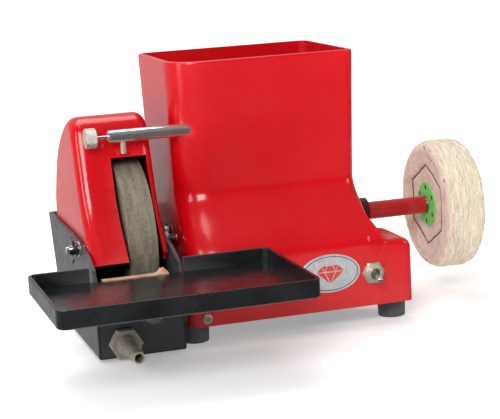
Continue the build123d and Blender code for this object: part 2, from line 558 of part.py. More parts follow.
def make_wing_nut(face_x, side):
    """Wing nut whose seat is at face_x, with two ears that lean outwards."""
    nut = Pos(face_x, STUD_Y, STUD_Z) * Rot(0, 90 * side, 0) * extrude(Circle(5.4), WING_HUB_T, taper=6)
    for way in (-1, 1):
        ear = fillet(Box(2.6, 7.2, 8.4).edges().filter_by(Axis.X), 3.0)
        ear = Pos(side * 5.4, 0, way * 8.0) * Rot(0, side * way * WING_LEAN, 0) * ear
        nut += Pos(face_x, STUD_Y, STUD_Z) * ear
    return nut - rod_x(STUD_R + GRIP, face_x - 12, face_x + 12, STUD_Y, STUD_Z)


# ---------------------------------------------------------------- drip valve
def make_valve_tube():
    tube = rod_x(VALVE_R, VALVE_LEFT, VALVE_BOSS_X + 9, VALVE_Y, VALVE_Z)
    outer_end = tube.edges().sort_by(Axis.X)[0]
    tube = chamfer(outer_end, 0.8)
    tube -= rod_x(VALVE_BORE_R, -46, VALVE_BOSS_X + 10, VALVE_Y, VALVE_Z)
    tube -= rod_x(NEEDLE_GLAND_R, VALVE_LEFT - 1, -45, VALVE_Y, VALVE_Z)
    return tube - rod_z(NOZZLE_R, VALVE_Z - VALVE_R - 1, VALVE_Z, NOZZLE_X, VALVE_Y)


def make_nozzle():
    pipe = rod_z(NOZZLE_R, NOZZLE_BOTTOM, VALVE_Z - VALVE_BORE_R - 0.5, NOZZLE_X, VALVE_Y)
    return pipe - rod_z(1.4, 150, VALVE_Z, NOZZLE_X, VALVE_Y)


def make_needle():
    """Needle that the knob's bore draws outwards by up to 1.4 mm as the knob turns in place."""
    rod = rod_x(NEEDLE_R, KNOB_LEFT + 4, -38, VALVE_Y, VALVE_Z)
    tip = Pos(-36.5, VALVE_Y, VALVE_Z) * Rot(0, 90, 0) * Cone(NEEDLE_R, 0.3, 3.0)
    return rod + tip


def make_knob():
    knob = rod_x(KNOB_R, KNOB_LEFT, KNOB_RIGHT, VALVE_Y, VALVE_Z)
    knob = chamfer(knob.edges().filter_by(GeomType.CIRCLE), 0.8)
    for i in range(30):
        a = radians(12 * i)
        knob -= rod_x(0.45, KNOB_LEFT - 1, KNOB_RIGHT + 1,
                      VALVE_Y + (KNOB_R + 0.1) * cos(a), VALVE_Z + (KNOB_R + 0.1) * sin(a))
    return knob - rod_x(NEEDLE_R + GRIP, KNOB_LEFT + 2, KNOB_RIGHT + 1, VALVE_Y, VALVE_Z)


# ---------------------------------------------------------------- switch and badge
def make_bushing():
    sleeve = rod_y(BUSHING_R, -9, 8, SWITCH_X, SWITCH_Z)
    mouth = Pos(SWITCH_X, -7.5, SWITCH_Z) * Rot(90, 0, 0) * Cone(4.2, 5.2, 3.2)
    return sleeve - rod_y(4.2, -10, 9, SWITCH_X, SWITCH_Z) - mouth


def make_lever():
    """Toggle lever: ball in the bushing, stem that widens to a rounded tip."""
    stem = Pos(0, -7, 0) * Rot(90, 0, 0) * Cone(1.8, 2.7, 14)
    lever = stem + Pos(0, -14, 0) * Sphere(2.7) + Sphere(3.4)
    return Pos(SWITCH_X, -3.0, SWITCH_Z) * Rot(LEVER_DOWN, 0, 0) * lever


def make_terminals():
    blades = []
    for dx in (-8, 0, 8):
        blades.append(box(SWITCH_X + dx - 2.4, SWITCH_X + dx + 2.4, 32, 41, SWITCH_Z - 0.4, SWITCH_Z + 0.4))
    return blades


def make_badge():
    plate = Rot(90, 0, 0) * extrude(Ellipse(BADGE_W / 2, BADGE_H / 2), BADGE_T)
    return Pos(BADGE_X, 0, BADGE_Z) * plate


# ---------------------------------------------------------------- guard tube and buff
def make_collar(wall_x):
    collar = ring_x(COLLAR_R, TUBE_R + GRIP, wall_x, COLLAR_END)
    collar += ring_x(COLLAR_FLANGE_R, TUBE_R + GRIP, wall_x, wall_x + 3)
    for angle in TUBE_SCREW_ANGLES:
        y, z = around_axis(angle, TUBE_SCREW_CIRCLE)
        collar -= rod_x(1.65, wall_x - 1, wall_x + 4, y, z)
    return collar


def make_buff():
    """Sewn cotton buff whose faces are pressed in round the hub."""
    half = (BUFF_RIGHT - BUFF_LEFT) / 2
    hub = half - BUFF_HOLLOW
    left = [(BUFF_SEAT_R, -hub), (HUB_DISC_R, -hub), (38, -hub - 1.8), (50, -half), (54, -half),
            (58.5, -half + 5), (BUFF_R, -half + 11)]
    right = [(r, -x) for r, x in reversed(left)]
    body = revolve(Plane.XZ * make_face(Polyline(*left, *right, close=True)), Axis.Z)
    return Pos((BUFF_LEFT + BUFF_RIGHT) / 2, AXIS_Y, AXIS_Z) * Rot(0, 90, 0) * body


def make_hub_disc(x0):
    disc = ring_x(HUB_DISC_R, BUFF_SEAT_R, x0, x0 + HUB_DISC_T)
    for i in range(6):
        y, z = around_axis(60 * i, 15.0)
        disc -= rod_x(1.6, x0 - 1, x0 + 3, y, z)
    return disc


# ---------------------------------------------------------------- writing the pieces
def main():
    os.makedirs("parts", exist_ok=True)
    inner = housing_body(WALL, BASE_BOTTOM - 5, TANK_RIM + 5)
    export("housing", make_housing(inner))
    snug = housing_body(WALL + GRIP, BASE_BOTTOM, TANK_RIM)
    floor_slab = box(-20, 200, 0, 190, TANK_FLOOR_TOP - TANK_FLOOR_T, TANK_FLOOR_TOP)
    export("tank_floor", snug & floor_slab)
    export("bottom_plate", make_bottom_plate())
    export("rubber_feet", *[make_foot(x, y) for x, y in FEET])
    front_screw = Pos(CASE_SCREW_X, 0, CASE_SCREW_Z) * pan_screw(7)
    back_screws = [Pos(x, BASE_BACK, CASE_SCREW_Z) * Rot(0, 0, 180) * pan_screw(7) for x in BACK_SCREW_X]
    wall_x = TANK_RIGHT - 0.5
    collar_screws = [Pos(wall_x + 3, *around_axis(a, TUBE_SCREW_CIRCLE)) * Rot(0, 0, 90)
                     * pan_screw(9, 2.9, 1.9)
                     for a in TUBE_SCREW_ANGLES]
    export("case_screws", front_screw, *back_screws, *collar_screws)

    export("motor_stator", make_stator())
    export("motor_windings", *make_windings())
    export("motor_end_bells", make_bell(BELL_LEFT_X, -1), make_bell(BELL_RIGHT_X, 1))
    export("motor_tie_bolts", *[make_tie_bolt(a) for a in TIE_ANGLES])
    export("motor_cradle", make_cradle())
    floor = BASE_BOTTOM + PLATE_T
    cradle_screws = [rod_z(2.0, BASE_BOTTOM - 1, floor + 2, x, y) + rod_z(4.0, floor + 2, floor + 4.5, x, y)
                     for x, y in cradle_holes()]
    export("base_screws", *[make_foot_screw(x, y) for x, y in FEET], *cradle_screws)
    spans = bearing_spans()
    export("bearing_outer_rings", *[ring_x(BEARING_R, BEARING_OUTER_IR, a, b) for a, b in spans])
    export("bearing_inner_rings", *[ring_x(BEARING_INNER_R, SHAFT_R, a, b) for a, b in spans])
    export("bearing_balls", *[Pos((a + b) / 2, *around_axis(360 / BALL_COUNT * i, 12.5)) * Sphere(BALL_R)
                              for a, b in spans for i in range(BALL_COUNT)])
    capacitor = rod_x(CAPACITOR_R, CAPACITOR_X, CAPACITOR_X + CAPACITOR_L, CAPACITOR_Y, CAPACITOR_Z)
    export("capacitor", fillet(capacitor.edges().filter_by(GeomType.CIRCLE), 1.5))
    export("capacitor_clip", make_capacitor_clip())
    export("terminal_block", box(66, 96, 18, 34, floor, floor + 14)
           - box(68, 94, 22, 30, floor + 8, floor + 15))
    gland = rod_y(GLAND_R, BASE_BACK - WALL - 6, BASE_BACK + 1, GLAND_X, GLAND_Z)
    gland += hex_y(20.0, BASE_BACK, BASE_BACK + 5, GLAND_X, GLAND_Z)
    gland += rod_y(7.0, BASE_BACK + 5, BASE_BACK + 11, GLAND_X, GLAND_Z)
    export("cable_gland", gland - rod_y(3.6, 160, 195, GLAND_X, GLAND_Z))

    export("main_shaft", make_shaft())
    end_rings = [ring_x(26.0, 15.0, a, b) for a, b in
                 ((STATOR_LEFT - 4, STATOR_LEFT), (STATOR_RIGHT, STATOR_RIGHT + 4))]
    export("rotor_core", ring_x(ROTOR_R, SHAFT_R, STATOR_LEFT, STATOR_RIGHT) + end_rings[0] + end_rings[1])
    export("cooling_fan", make_fan())
    export("shaft_slinger", ring_x(12.0, SHAFT_R, -8.5, -3.5))

    wheel = ring_x(WHEEL_R, BUSH_R, WHEEL_LEFT, WHEEL_RIGHT)
    rim_edges = wheel.edges().filter_by(GeomType.CIRCLE).sort_by(SortBy.RADIUS)[-2:]
    export("grinding_wheel", chamfer(rim_edges, 0.6))
    export("wheel_bush", ring_x(BUSH_R, ARBOR_R, WHEEL_LEFT, WHEEL_RIGHT))
    blotter_r = FLANGE_R + 4
    outer_face = WHEEL_LEFT - BLOTTER_T
    export("wheel_blotters", ring_x(blotter_r, ARBOR_R, outer_face, WHEEL_LEFT),
           ring_x(blotter_r, ARBOR_R, WHEEL_RIGHT, WHEEL_RIGHT + BLOTTER_T))
    inner_face = WHEEL_RIGHT + BLOTTER_T
    export("wheel_flanges", ring_x(FLANGE_R, ARBOR_R, outer_face - FLANGE_T, outer_face),
           ring_x(FLANGE_R, ARBOR_R, inner_face, inner_face + FLANGE_T))
    nut_x = outer_face - FLANGE_T
    export("wheel_nut", hex_x(WHEEL_NUT_AF, nut_x - WHEEL_NUT_T, nut_x) - rod_x(ARBOR_R, -80, 0))

    export("basin", make_basin())
    export("basin_spacers", *[ring_x(7.0, 2.6, BASIN_RIGHT, STEP_LEFT, y, z) for y, z in BASIN_FIXINGS])
    export("basin_screws", *[rod_x(5.0, BASIN_RIGHT - BASIN_WALL - 2.2, BASIN_RIGHT - BASIN_WALL, y, z)
                             + rod_x(2.5, BASIN_RIGHT - BASIN_WALL, 2.5, y, z) for y, z in BASIN_FIXINGS])
    export("drain_fitting", make_drain_fitting())
    gasket_x = VALVE_BOSS_X
    export("seal_gaskets", washer_y(10.5, DRAIN_THREAD_R, BASIN_FRONT - 1.5, BASIN_FRONT, DRAIN_X, DRAIN_Z),
           ring_x(7.2, VALVE_R, gasket_x, gasket_x + 1.5, VALVE_Y, VALVE_Z))
    inside = BASIN_FRONT + BASIN_WALL
    export("drain_lock_nut", hex_y(19.0, inside, inside + 5, DRAIN_X, DRAIN_Z)
           - rod_y(DRAIN_THREAD_R, -10, 10, DRAIN_X, DRAIN_Z))
    export("tray", make_tray())
    export("splash_strip", make_splash_strip())
    export("tray_bracket", make_tray_bracket())
    export("tray_bolt", make_tray_bolt())
    tray_nut = hex_y(10.0, inside, inside + 4.5, BRACKET_X, TRAY_BOLT_Z)
    tray_nut -= rod_y(3.0, -10, 10, BRACKET_X, TRAY_BOLT_Z)
    basin_nuts = [hex_x(8.0, STEP_LEFT + WALL, STEP_LEFT + WALL + 4, y, z) - rod_x(2.5, -10, 10, y, z)
                  for y, z in BASIN_FIXINGS]
    export("fixing_nuts", tray_nut, *basin_nuts)

    export("hood", make_hood())
    export("hood_studs", make_stud(BASIN_LEFT, HOOD_LEFT + HOOD_WALL, -1),
           make_stud(BASIN_RIGHT, HOOD_RIGHT - HOOD_WALL, 1))
    left_seat, right_seat = BASIN_LEFT - CLAMP_WASHER_T, BASIN_RIGHT + CLAMP_WASHER_T
    export("clamp_washer_left", ring_x(6.5, STUD_R + GRIP, left_seat, BASIN_LEFT, STUD_Y, STUD_Z))
    export("clamp_washer_right", ring_x(6.5, STUD_R + GRIP, BASIN_RIGHT, right_seat, STUD_Y, STUD_Z))
    export("wing_nut_left", make_wing_nut(left_seat, -1))
    export("wing_nut_right", make_wing_nut(right_seat, 1))

    export("valve_tube", make_valve_tube())
    export("drip_nozzle", make_nozzle())
    export("valve_lock_nut", hex_x(12.6, gasket_x + 1.5, gasket_x + 6.5, VALVE_Y, VALVE_Z)
           - rod_x(VALVE_R, 20, 40, VALVE_Y, VALVE_Z))
    export("valve_needle", make_needle())
    export("valve_knob", make_knob())

    export("switch_body", box(SWITCH_X - 14, SWITCH_X + 14, 8, 32, SWITCH_Z - 10, SWITCH_Z + 10),
           *make_terminals())
    export("switch_bushing", make_bushing())
    export("switch_nut", hex_y(SWITCH_NUT_AF, -3, 0, SWITCH_X, SWITCH_Z)
           - rod_y(BUSHING_R, -5, 2, SWITCH_X, SWITCH_Z))
    export("switch_lever", make_lever())
    export("badge_plate", make_badge())

    export("tube_collar", make_collar(wall_x))
    tube = ring_x(TUBE_R, TUBE_IR, wall_x, TUBE_END)
    export("guard_tube", fillet(tube.edges().filter_by(GeomType.CIRCLE).group_by(Axis.X)[-1], 0.45))
    export("buff_wheel", make_buff())
    disc_left, disc_right = BUFF_LEFT + BUFF_HOLLOW - HUB_DISC_T, BUFF_RIGHT - BUFF_HOLLOW
    export("buff_hub_discs", make_hub_disc(disc_left), make_hub_disc(disc_right))
    nut_left = disc_right + HUB_DISC_T + 2
    export("buff_washers", ring_x(7.8, BUFF_SEAT_R, TUBE_END + 1, disc_left),
           ring_x(12.0, BUFF_SEAT_R, nut_left - 2, nut_left))
    export("buff_nut", hex_x(17.0, nut_left, nut_left + 9) - rod_x(BUFF_SEAT_R, 280, 310))


main()
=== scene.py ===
"""Looks of a bench cabbing machine: materials, detailed pieces, studio light and camera.

Metres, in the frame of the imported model: +X along the spindle towards the buff, +Y to the
back, +Z up, the bench at z = 0.
"""
import bmesh
import bpy
import json
import random
from math import atan2, cos, exp, floor, pi, radians, sin, sqrt
from mathutils import Matrix, Vector, noise


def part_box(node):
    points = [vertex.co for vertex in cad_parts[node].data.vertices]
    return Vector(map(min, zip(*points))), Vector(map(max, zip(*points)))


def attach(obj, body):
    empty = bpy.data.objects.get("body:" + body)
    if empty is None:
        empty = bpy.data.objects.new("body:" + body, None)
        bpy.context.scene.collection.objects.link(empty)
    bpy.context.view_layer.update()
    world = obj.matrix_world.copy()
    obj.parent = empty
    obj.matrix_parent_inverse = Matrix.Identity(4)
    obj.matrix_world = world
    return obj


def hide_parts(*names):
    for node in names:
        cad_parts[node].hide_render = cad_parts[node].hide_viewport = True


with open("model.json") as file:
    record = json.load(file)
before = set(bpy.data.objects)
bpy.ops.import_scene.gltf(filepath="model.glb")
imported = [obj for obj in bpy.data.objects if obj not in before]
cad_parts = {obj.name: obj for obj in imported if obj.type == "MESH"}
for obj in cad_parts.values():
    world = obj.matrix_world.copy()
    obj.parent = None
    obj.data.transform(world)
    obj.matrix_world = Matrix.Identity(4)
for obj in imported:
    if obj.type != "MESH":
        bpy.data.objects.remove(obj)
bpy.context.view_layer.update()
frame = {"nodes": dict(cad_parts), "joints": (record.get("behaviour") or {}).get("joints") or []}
NODES = frame["nodes"]
MM = 0.001


def middle(node):
    low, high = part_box(node)
    return (Vector(low) + Vector(high)) / 2


SHAFT = middle("main_shaft")
BUFF_LOW, BUFF_HIGH = [Vector(v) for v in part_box("buff_wheel")]
BUFF_R = (BUFF_HIGH.z - BUFF_LOW.z) / 2
WHEEL_LOW, WHEEL_HIGH = [Vector(v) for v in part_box("grinding_wheel")]
WHEEL_R = (WHEEL_HIGH.z - WHEEL_LOW.z) / 2


# ---------------------------------------------------------------- materials
class Surface:
    """A Principled material with short calls for the textures that feed it."""

    def __init__(self, name, roughness=0.5, metallic=0.0, ior=1.5, coat=0.0, coat_roughness=0.05,
                 sheen=0.0):
        self.material = bpy.data.materials.new(name)
        self.material.use_nodes = True
        self.tree = self.material.node_tree
        self.shader = self.tree.nodes["Principled BSDF"]
        self.set("Roughness", roughness)
        self.set("Metallic", metallic)
        self.set("IOR", ior)
        self.set("Coat Weight", coat)
        self.set("Coat Roughness", coat_roughness)
        self.set("Sheen Weight", sheen)
        self.place = self.node("ShaderNodeTexCoord").outputs["Object"]

    def node(self, kind, **settings):
        made = self.tree.nodes.new(kind)
        for key, value in settings.items():
            setattr(made, key, value)
        return made

    def feed(self, socket, value):
        if isinstance(value, bpy.types.NodeSocket):
            self.tree.links.new(value, socket)
        else:
            socket.default_value = (*value, 1.0) if isinstance(value, tuple) and len(value) == 3 else value

    def set(self, name, value):
        self.feed(self.shader.inputs[name], value)

    def stretched(self, scale):
        mapping = self.node("ShaderNodeMapping")
        self.feed(mapping.inputs["Vector"], self.place)
        mapping.inputs["Scale"].default_value = scale
        return mapping.outputs["Vector"]

    def noise(self, scale, detail=3.0, roughness=0.5, where=None):
        made = self.node("ShaderNodeTexNoise")
        self.feed(made.inputs["Vector"], where or self.place)
        made.inputs["Scale"].default_value = scale
        made.inputs["Detail"].default_value = detail
        made.inputs["Roughness"].default_value = roughness
        return made.outputs["Fac"]

    def cells(self, scale, output="Distance"):
        made = self.node("ShaderNodeTexVoronoi")
        self.feed(made.inputs["Vector"], self.place)
        made.inputs["Scale"].default_value = scale
        return made.outputs[output]

    def range(self, value, low, high, to_low=0.0, to_high=1.0):
        made = self.node("ShaderNodeMapRange")
        for socket, number in zip(("Value", "From Min", "From Max", "To Min", "To Max"),
                                  (value, low, high, to_low, to_high)):
            self.feed(made.inputs[socket], number)
        return made.outputs["Result"]

    def maths(self, operation, a, b=0.0):
        made = self.node("ShaderNodeMath", operation=operation)
        self.feed(made.inputs[0], a)
        self.feed(made.inputs[1], b)
        return made.outputs[0]

    def mix(self, factor, a, b):
        made = self.node("ShaderNodeMix", data_type="RGBA")
        self.feed(made.inputs["Factor"], factor)
        colour_inputs = [s for s in made.inputs if s.type == "RGBA"]
        self.feed(colour_inputs[0], a)
        self.feed(colour_inputs[1], b)
        return [s for s in made.outputs if s.type == "RGBA"][0]

    def split(self, vector):
        made = self.node("ShaderNodeSeparateXYZ")
        self.feed(made.inputs[0], vector)
        return made.outputs

    def join(self, x, y, z):
        made = self.node("ShaderNodeCombineXYZ")
        for socket, value in zip(made.inputs, (x, y, z)):
            self.feed(socket, value)
        return made.outputs[0]

    def bump(self, height, distance, strength=1.0):
        made = self.node("ShaderNodeBump")
        made.inputs["Distance"].default_value = distance
        made.inputs["Strength"].default_value = strength
        self.feed(made.inputs["Height"], height)
        last = self.shader.inputs["Normal"]
        if last.is_linked:
            self.feed(made.inputs["Normal"], last.links[0].from_socket)
        self.feed(last, made.outputs["Normal"])

    def edges(self, low=0.52, high=0.6):
        """1 on outward edges, 0 elsewhere: the mask with which the materials paint highlights along edges.
        """
        return self.range(self.node("ShaderNodeNewGeometry").outputs["Pointiness"], low, high)

    def spin(self, centre):
        """Angle and radius about the spindle axis, and place along it, for wheel textures."""
        x, y, z = self.split(self.place)
        dy = self.maths("SUBTRACT", y, centre.y)
        dz = self.maths("SUBTRACT", z, centre.z)
        angle = self.maths("ARCTAN2", dz, dy)
        radius = self.maths("SQRT", self.maths("ADD", self.maths("MULTIPLY", dy, dy),
                                               self.maths("MULTIPLY", dz, dz)))
        return angle, radius, x


def gloss_red(name, deep=(0.56, 0.001, 0.005), light=(0.66, 0.004, 0.011)):
    s = Surface(name, ior=1.5, coat=0.25, coat_roughness=0.06)
    colour = s.mix(s.range(s.noise(9.0, 4.0), 0.35, 0.65), deep, light)
    specks = s.range(s.noise(900.0, 2.0), 0.70, 0.76)
    colour = s.mix(s.maths("MULTIPLY", specks, 0.35), colour, (0.75, 0.16, 0.14))
    # Lighter pink (0.80, 0.14, 0.13) on outward edges is a painted highlight along the rounded edges.
    s.set("Base Color", s.mix(s.maths("MULTIPLY", s.edges(0.53, 0.62), 0.22), colour, (0.80, 0.14, 0.13)))
    s.set("Roughness", s.range(s.noise(30.0, 5.0, 0.6), 0.3, 0.7, 0.16, 0.26))
    s.bump(s.noise(160.0, 2.0), 0.00008, 0.3)
    s.bump(s.noise(14.0, 2.0), 0.0006, 0.6)
    return s.material


def moulded_black(name, smooth=False):
    s = Surface(name, ior=1.5)
    base = s.mix(s.range(s.noise(25.0, 4.0), 0.35, 0.65), (0.008, 0.009, 0.010), (0.017, 0.018, 0.020))
    dust = s.range(s.noise(1300.0, 2.0), 0.66, 0.74)
    base = s.mix(s.maths("MULTIPLY", dust, 0.5), base, (0.10, 0.10, 0.105))
    # Grey (0.11, 0.11, 0.12) on outward edges is a painted highlight along the rounded edges.
    s.set("Base Color", s.mix(s.maths("MULTIPLY", s.edges(), 0.6), base, (0.11, 0.11, 0.12)))
    low, high = (0.17, 0.30) if smooth else (0.30, 0.44)
    s.set("Roughness", s.range(s.noise(60.0, 5.0, 0.6), 0.3, 0.7, low, high))
    s.bump(s.noise(700.0, 3.0), 0.00008 if smooth else 0.00018, 0.6)
    return s.material


def soft_rubber(name, colour, light, grain=500.0):
    s = Surface(name, ior=1.48, sheen=0.1)
    base = s.mix(s.range(s.noise(60.0, 5.0), 0.35, 0.7), colour, light)
    # The lighter colour on outward edges is a painted highlight along the rounded edges.
    s.set("Base Color", s.mix(s.maths("MULTIPLY", s.edges(), 0.5), base, light))
    s.set("Roughness", s.range(s.noise(120.0, 4.0), 0.3, 0.7, 0.5, 0.72))
    s.bump(s.noise(grain, 4.0), 0.0002, 0.6)
    return s.material


def metal(name, colour, roughness, variation=0.06, scratch=(30.0, 600.0, 600.0), metallic=1.0):
    s = Surface(name, metallic=metallic)
    streaks = s.noise(2.0, 4.0, 0.6, s.stretched(scratch))
    darker = tuple(c * 0.82 for c in colour)
    s.set("Base Color", s.mix(s.range(s.noise(90.0, 4.0), 0.3, 0.7), darker, colour))
    s.set("Roughness", s.range(streaks, 0.25, 0.75, roughness, roughness + variation))
    s.bump(streaks, 0.00003, 0.4)
    return s.material


def nylon(name, colour, light):
    s = Surface(name, ior=1.52)
    blotch = s.range(s.noise(70.0, 6.0, 0.65), 0.3, 0.7)
    base = s.mix(blotch, colour, light)
    # The variable worn holds a brighter copy of the light tone, laid on outward edges: a painted highlight,
    # not wear.
    worn = tuple(min(1.0, c * 1.35) for c in light)
    s.set("Base Color", s.mix(s.maths("MULTIPLY", s.edges(), 0.5), base, worn))
    s.set("Roughness", s.range(s.noise(200.0, 4.0), 0.3, 0.7, 0.4, 0.6))
    s.bump(s.noise(420.0, 4.0), 0.00025, 0.6)
    return s.material


def grit(name):
    """Vitrified abrasive: packed grains, worn streaks round the rim, darker flanks."""
    s = Surface(name, ior=1.5)
    angle, radius, x = s.spin(SHAFT)
    grain = s.cells(900.0, "Color")
    tone = s.split(grain)[0]
    base = s.mix(tone, (0.125, 0.102, 0.070), (0.245, 0.210, 0.150))
    streak_place = s.join(s.maths("MULTIPLY", x, 260.0), s.maths("MULTIPLY", angle, 2.2),
                          s.maths("MULTIPLY", radius, 40.0))
    streaks = s.range(s.noise(1.0, 4.0, 0.6, streak_place), 0.35, 0.68)
    base = s.mix(s.maths("MULTIPLY", streaks, 0.55), base, (0.38, 0.335, 0.26))
    light = s.range(s.noise(1500.0, 2.0), 0.66, 0.72)
    base = s.mix(s.maths("MULTIPLY", light, 0.6), base, (0.52, 0.48, 0.40))
    dark = s.range(s.noise(1100.0, 2.0, 0.5, s.stretched((1.3, 1.0, 1.1))), 0.36, 0.30)
    base = s.mix(s.maths("MULTIPLY", dark, 0.7), base, (0.045, 0.036, 0.026))
    flank = s.range(radius, WHEEL_R - 1.2 * MM, WHEEL_R - 3 * MM)
    s.set("Base Color", s.mix(s.maths("MULTIPLY", flank, 0.4), base, (0.10, 0.082, 0.062)))
    s.set("Roughness", s.range(tone, 0.0, 1.0, 0.62, 0.88))
    s.bump(s.cells(900.0), 0.0004, 0.7)
    s.bump(s.noise(2500.0, 3.0), 0.0002, 0.6)
    return s.material


def cotton(name):
    """Sewn cotton: plies that show as rings on the rim, stained flanks, grey flecks."""
    s = Surface(name, ior=1.45, sheen=0.35)
    angle, radius, x = s.spin(SHAFT)
    around = s.join(s.maths("MULTIPLY", x, 900.0), s.maths("MULTIPLY", angle, 5.0),
                    s.maths("MULTIPLY", radius, 60.0))
    ply = s.range(s.noise(1.0, 4.0, 0.6, around), 0.32, 0.68)
    rim = s.mix(ply, (0.66, 0.55, 0.41), (0.92, 0.84, 0.69))
    flank_tone = s.range(s.noise(75.0, 6.0, 0.62), 0.32, 0.68)
    flank = s.mix(flank_tone, (0.48, 0.33, 0.25), (0.82, 0.67, 0.55))
    weave = s.noise(1.0, 2.0, 0.5, s.stretched((900.0, 2600.0, 700.0)))
    flank = s.mix(s.range(weave, 0.4, 0.62, 0.0, 0.5), flank, (0.86, 0.74, 0.64))
    inward = s.range(radius, BUFF_R - 3 * MM, BUFF_R - 13 * MM)
    normal = s.node("ShaderNodeNewGeometry").outputs["Normal"]
    facing = s.range(s.maths("ABSOLUTE", s.split(normal)[0]), 0.35, 0.85)
    base = s.mix(s.maths("MULTIPLY", inward, facing), rim, flank)
    fleck_place = s.join(s.maths("MULTIPLY", x, 1500.0), s.maths("MULTIPLY", angle, 26.0),
                         s.maths("MULTIPLY", radius, 900.0))
    flecks = s.range(s.noise(1.0, 2.0, 0.5, fleck_place), 0.63, 0.70)
    s.set("Base Color", s.mix(s.maths("MULTIPLY", flecks, 0.75), base, (0.20, 0.16, 0.14)))
    s.set("Roughness", s.range(ply, 0.0, 1.0, 0.8, 0.95))
    s.bump(s.noise(1.0, 4.0, 0.6, around), 0.0005, 0.7)
    s.bump(weave, 0.0003, 0.6)
    return s.material


def fibre(name, colour, light):
    s = Surface(name, ior=1.48)
    fine = s.noise(700.0, 5.0, 0.65)
    base = s.mix(s.range(fine, 0.35, 0.65), colour, light)
    s.set("Base Color", s.mix(s.range(s.noise(60.0, 4.0), 0.5, 0.72, 0.0, 0.35), base, (0.30, 0.55, 0.25)))
    s.set("Roughness", s.range(fine, 0.3, 0.7, 0.55, 0.75))
    s.bump(fine, 0.0002, 0.6)
    return s.material


def studio_floor(name):
    """Pale paper that glows more with distance, so that it runs out into white."""
    s = Surface(name, roughness=0.7, ior=1.3)
    s.set("Base Color", s.mix(s.range(s.noise(1.5, 3.0), 0.4, 0.6), (0.93, 0.93, 0.93), (0.95, 0.95, 0.95)))
    x, y, _ = s.split(s.place)
    away = s.maths("SQRT", s.maths("ADD", s.maths("MULTIPLY", x, x), s.maths("MULTIPLY", y, y)))
    s.set("Emission Color", (1.0, 1.0, 1.0))
    s.set("Emission Strength", s.range(away, 0.15, 0.9, 0.30, 1.0))
    return s.material


def printed_silver(name):
    """Silvery foil under clear lacquer."""
    s = Surface(name, metallic=0.25, coat=0.3, coat_roughness=0.1)
    foil = s.range(s.noise(500.0, 4.0), 0.35, 0.65)
    s.set("Base Color", s.mix(foil, (0.50, 0.52, 0.54), (0.66, 0.68, 0.70)))
    s.set("Roughness", s.range(s.noise(300.0, 4.0), 0.3, 0.7, 0.3, 0.45))
    s.bump(s.noise(900.0, 3.0), 0.00004, 0.5)
    return s.material


RED = gloss_red("red_shell")
RED_METAL = gloss_red("red_paint", (0.40, 0.002, 0.005), (0.54, 0.006, 0.010))
COLLAR_RED = gloss_red("dark_red_collar", (0.030, 0.002, 0.003), (0.060, 0.004, 0.006))
BLACK = moulded_black("black_shell")
TRAY_BLACK = moulded_black("black_tray", smooth=True)
RUBBER = soft_rubber("grey_rubber", (0.055, 0.062, 0.070), (0.11, 0.12, 0.13))
TAN = soft_rubber("tan_rubber", (0.50, 0.26, 0.16), (0.72, 0.44, 0.31), 900.0)
CHROME = metal("chrome", (0.88, 0.88, 0.88), 0.07, metallic=0.9)
NICKEL = metal("nickel", (0.88, 0.83, 0.71), 0.32, 0.1, metallic=0.7)
KNOB_PLATE = metal("knob_plate", (0.90, 0.87, 0.80), 0.24, 0.1, metallic=0.75)
# The dark base colour of the wing nuts stands in for the dark surroundings the plated nuts reflect: a
# painted reflection.
NICKEL_PAINTED_DARK_REFLECTION = metal("nickel_painted_dark_reflection", (0.22, 0.22, 0.23), 0.2, 0.1)
STEEL = metal("steel", (0.52, 0.52, 0.53), 0.28, 0.12)
CAST = metal("cast_alloy", (0.60, 0.61, 0.62), 0.42, 0.14)
SILVER = printed_silver("badge_silver")
COPPER = metal("copper_wire", (0.62, 0.28, 0.12), 0.3, 0.1)
BEIGE = nylon("beige_nylon", (0.30, 0.265, 0.215), (0.43, 0.385, 0.32))
GREEN = fibre("green_fibre", (0.13, 0.58, 0.11), (0.22, 0.74, 0.20))
PAPER = fibre("paper", (0.48, 0.42, 0.32), (0.62, 0.56, 0.44))
GRIT = grit("vitrified_grit")
COTTON = cotton("sewn_cotton")
THREAD = soft_rubber("dark_thread", (0.035, 0.025, 0.022), (0.09, 0.07, 0.06), 3000.0)
HOLE_SHADE = soft_rubber("hole_painted_shade", (0.075, 0.035, 0.015), (0.15, 0.08, 0.04), 2000.0)
BADGE_DARK = soft_rubber("badge_dark_ink", (0.035, 0.018, 0.02), (0.06, 0.03, 0.03), 1500.0)
BADGE_RED = gloss_red("badge_red_ink", (0.55, 0.03, 0.03), (0.62, 0.05, 0.05))

NODE_MATERIALS = {
    RED: ["housing", "hood", "tank_floor"],
    RED_METAL: ["guard_tube"],
    COLLAR_RED: ["tube_collar"],
    BLACK: ["basin", "tray_bracket", "switch_body", "capacitor", "cable_gland", "cooling_fan",
            "wheel_bush"],
    TRAY_BLACK: ["tray"],
    RUBBER: ["rubber_feet", "seal_gaskets", "shaft_slinger", "basin_spacers"],
    CHROME: ["valve_tube", "tray_bolt", "clamp_washer_left", "clamp_washer_right",
             "hood_studs", "valve_needle"],
    NICKEL: ["switch_bushing", "case_screws", "drip_nozzle"],
    STEEL: ["main_shaft", "base_screws", "basin_screws", "fixing_nuts", "valve_lock_nut",
            "bearing_outer_rings", "bearing_inner_rings", "bearing_balls", "motor_tie_bolts", "wheel_nut",
            "wheel_flanges", "buff_washers", "bottom_plate", "motor_cradle",
            "motor_stator", "capacitor_clip", "rotor_core"],
    CAST: ["motor_end_bells"],
    COPPER: ["motor_windings"],
    BEIGE: ["drain_lock_nut", "terminal_block"],
    GREEN: ["buff_hub_discs"],
    PAPER: ["wheel_blotters"],
}
for material, names in NODE_MATERIALS.items():
    for name in names:
        NODES[name].data.materials.clear()
        NODES[name].data.materials.append(material)


# ---------------------------------------------------------------- mesh helpers
def linked(name, data):
    made = bpy.data.objects.new(name, data)
    bpy.context.scene.collection.objects.link(made)
    return made


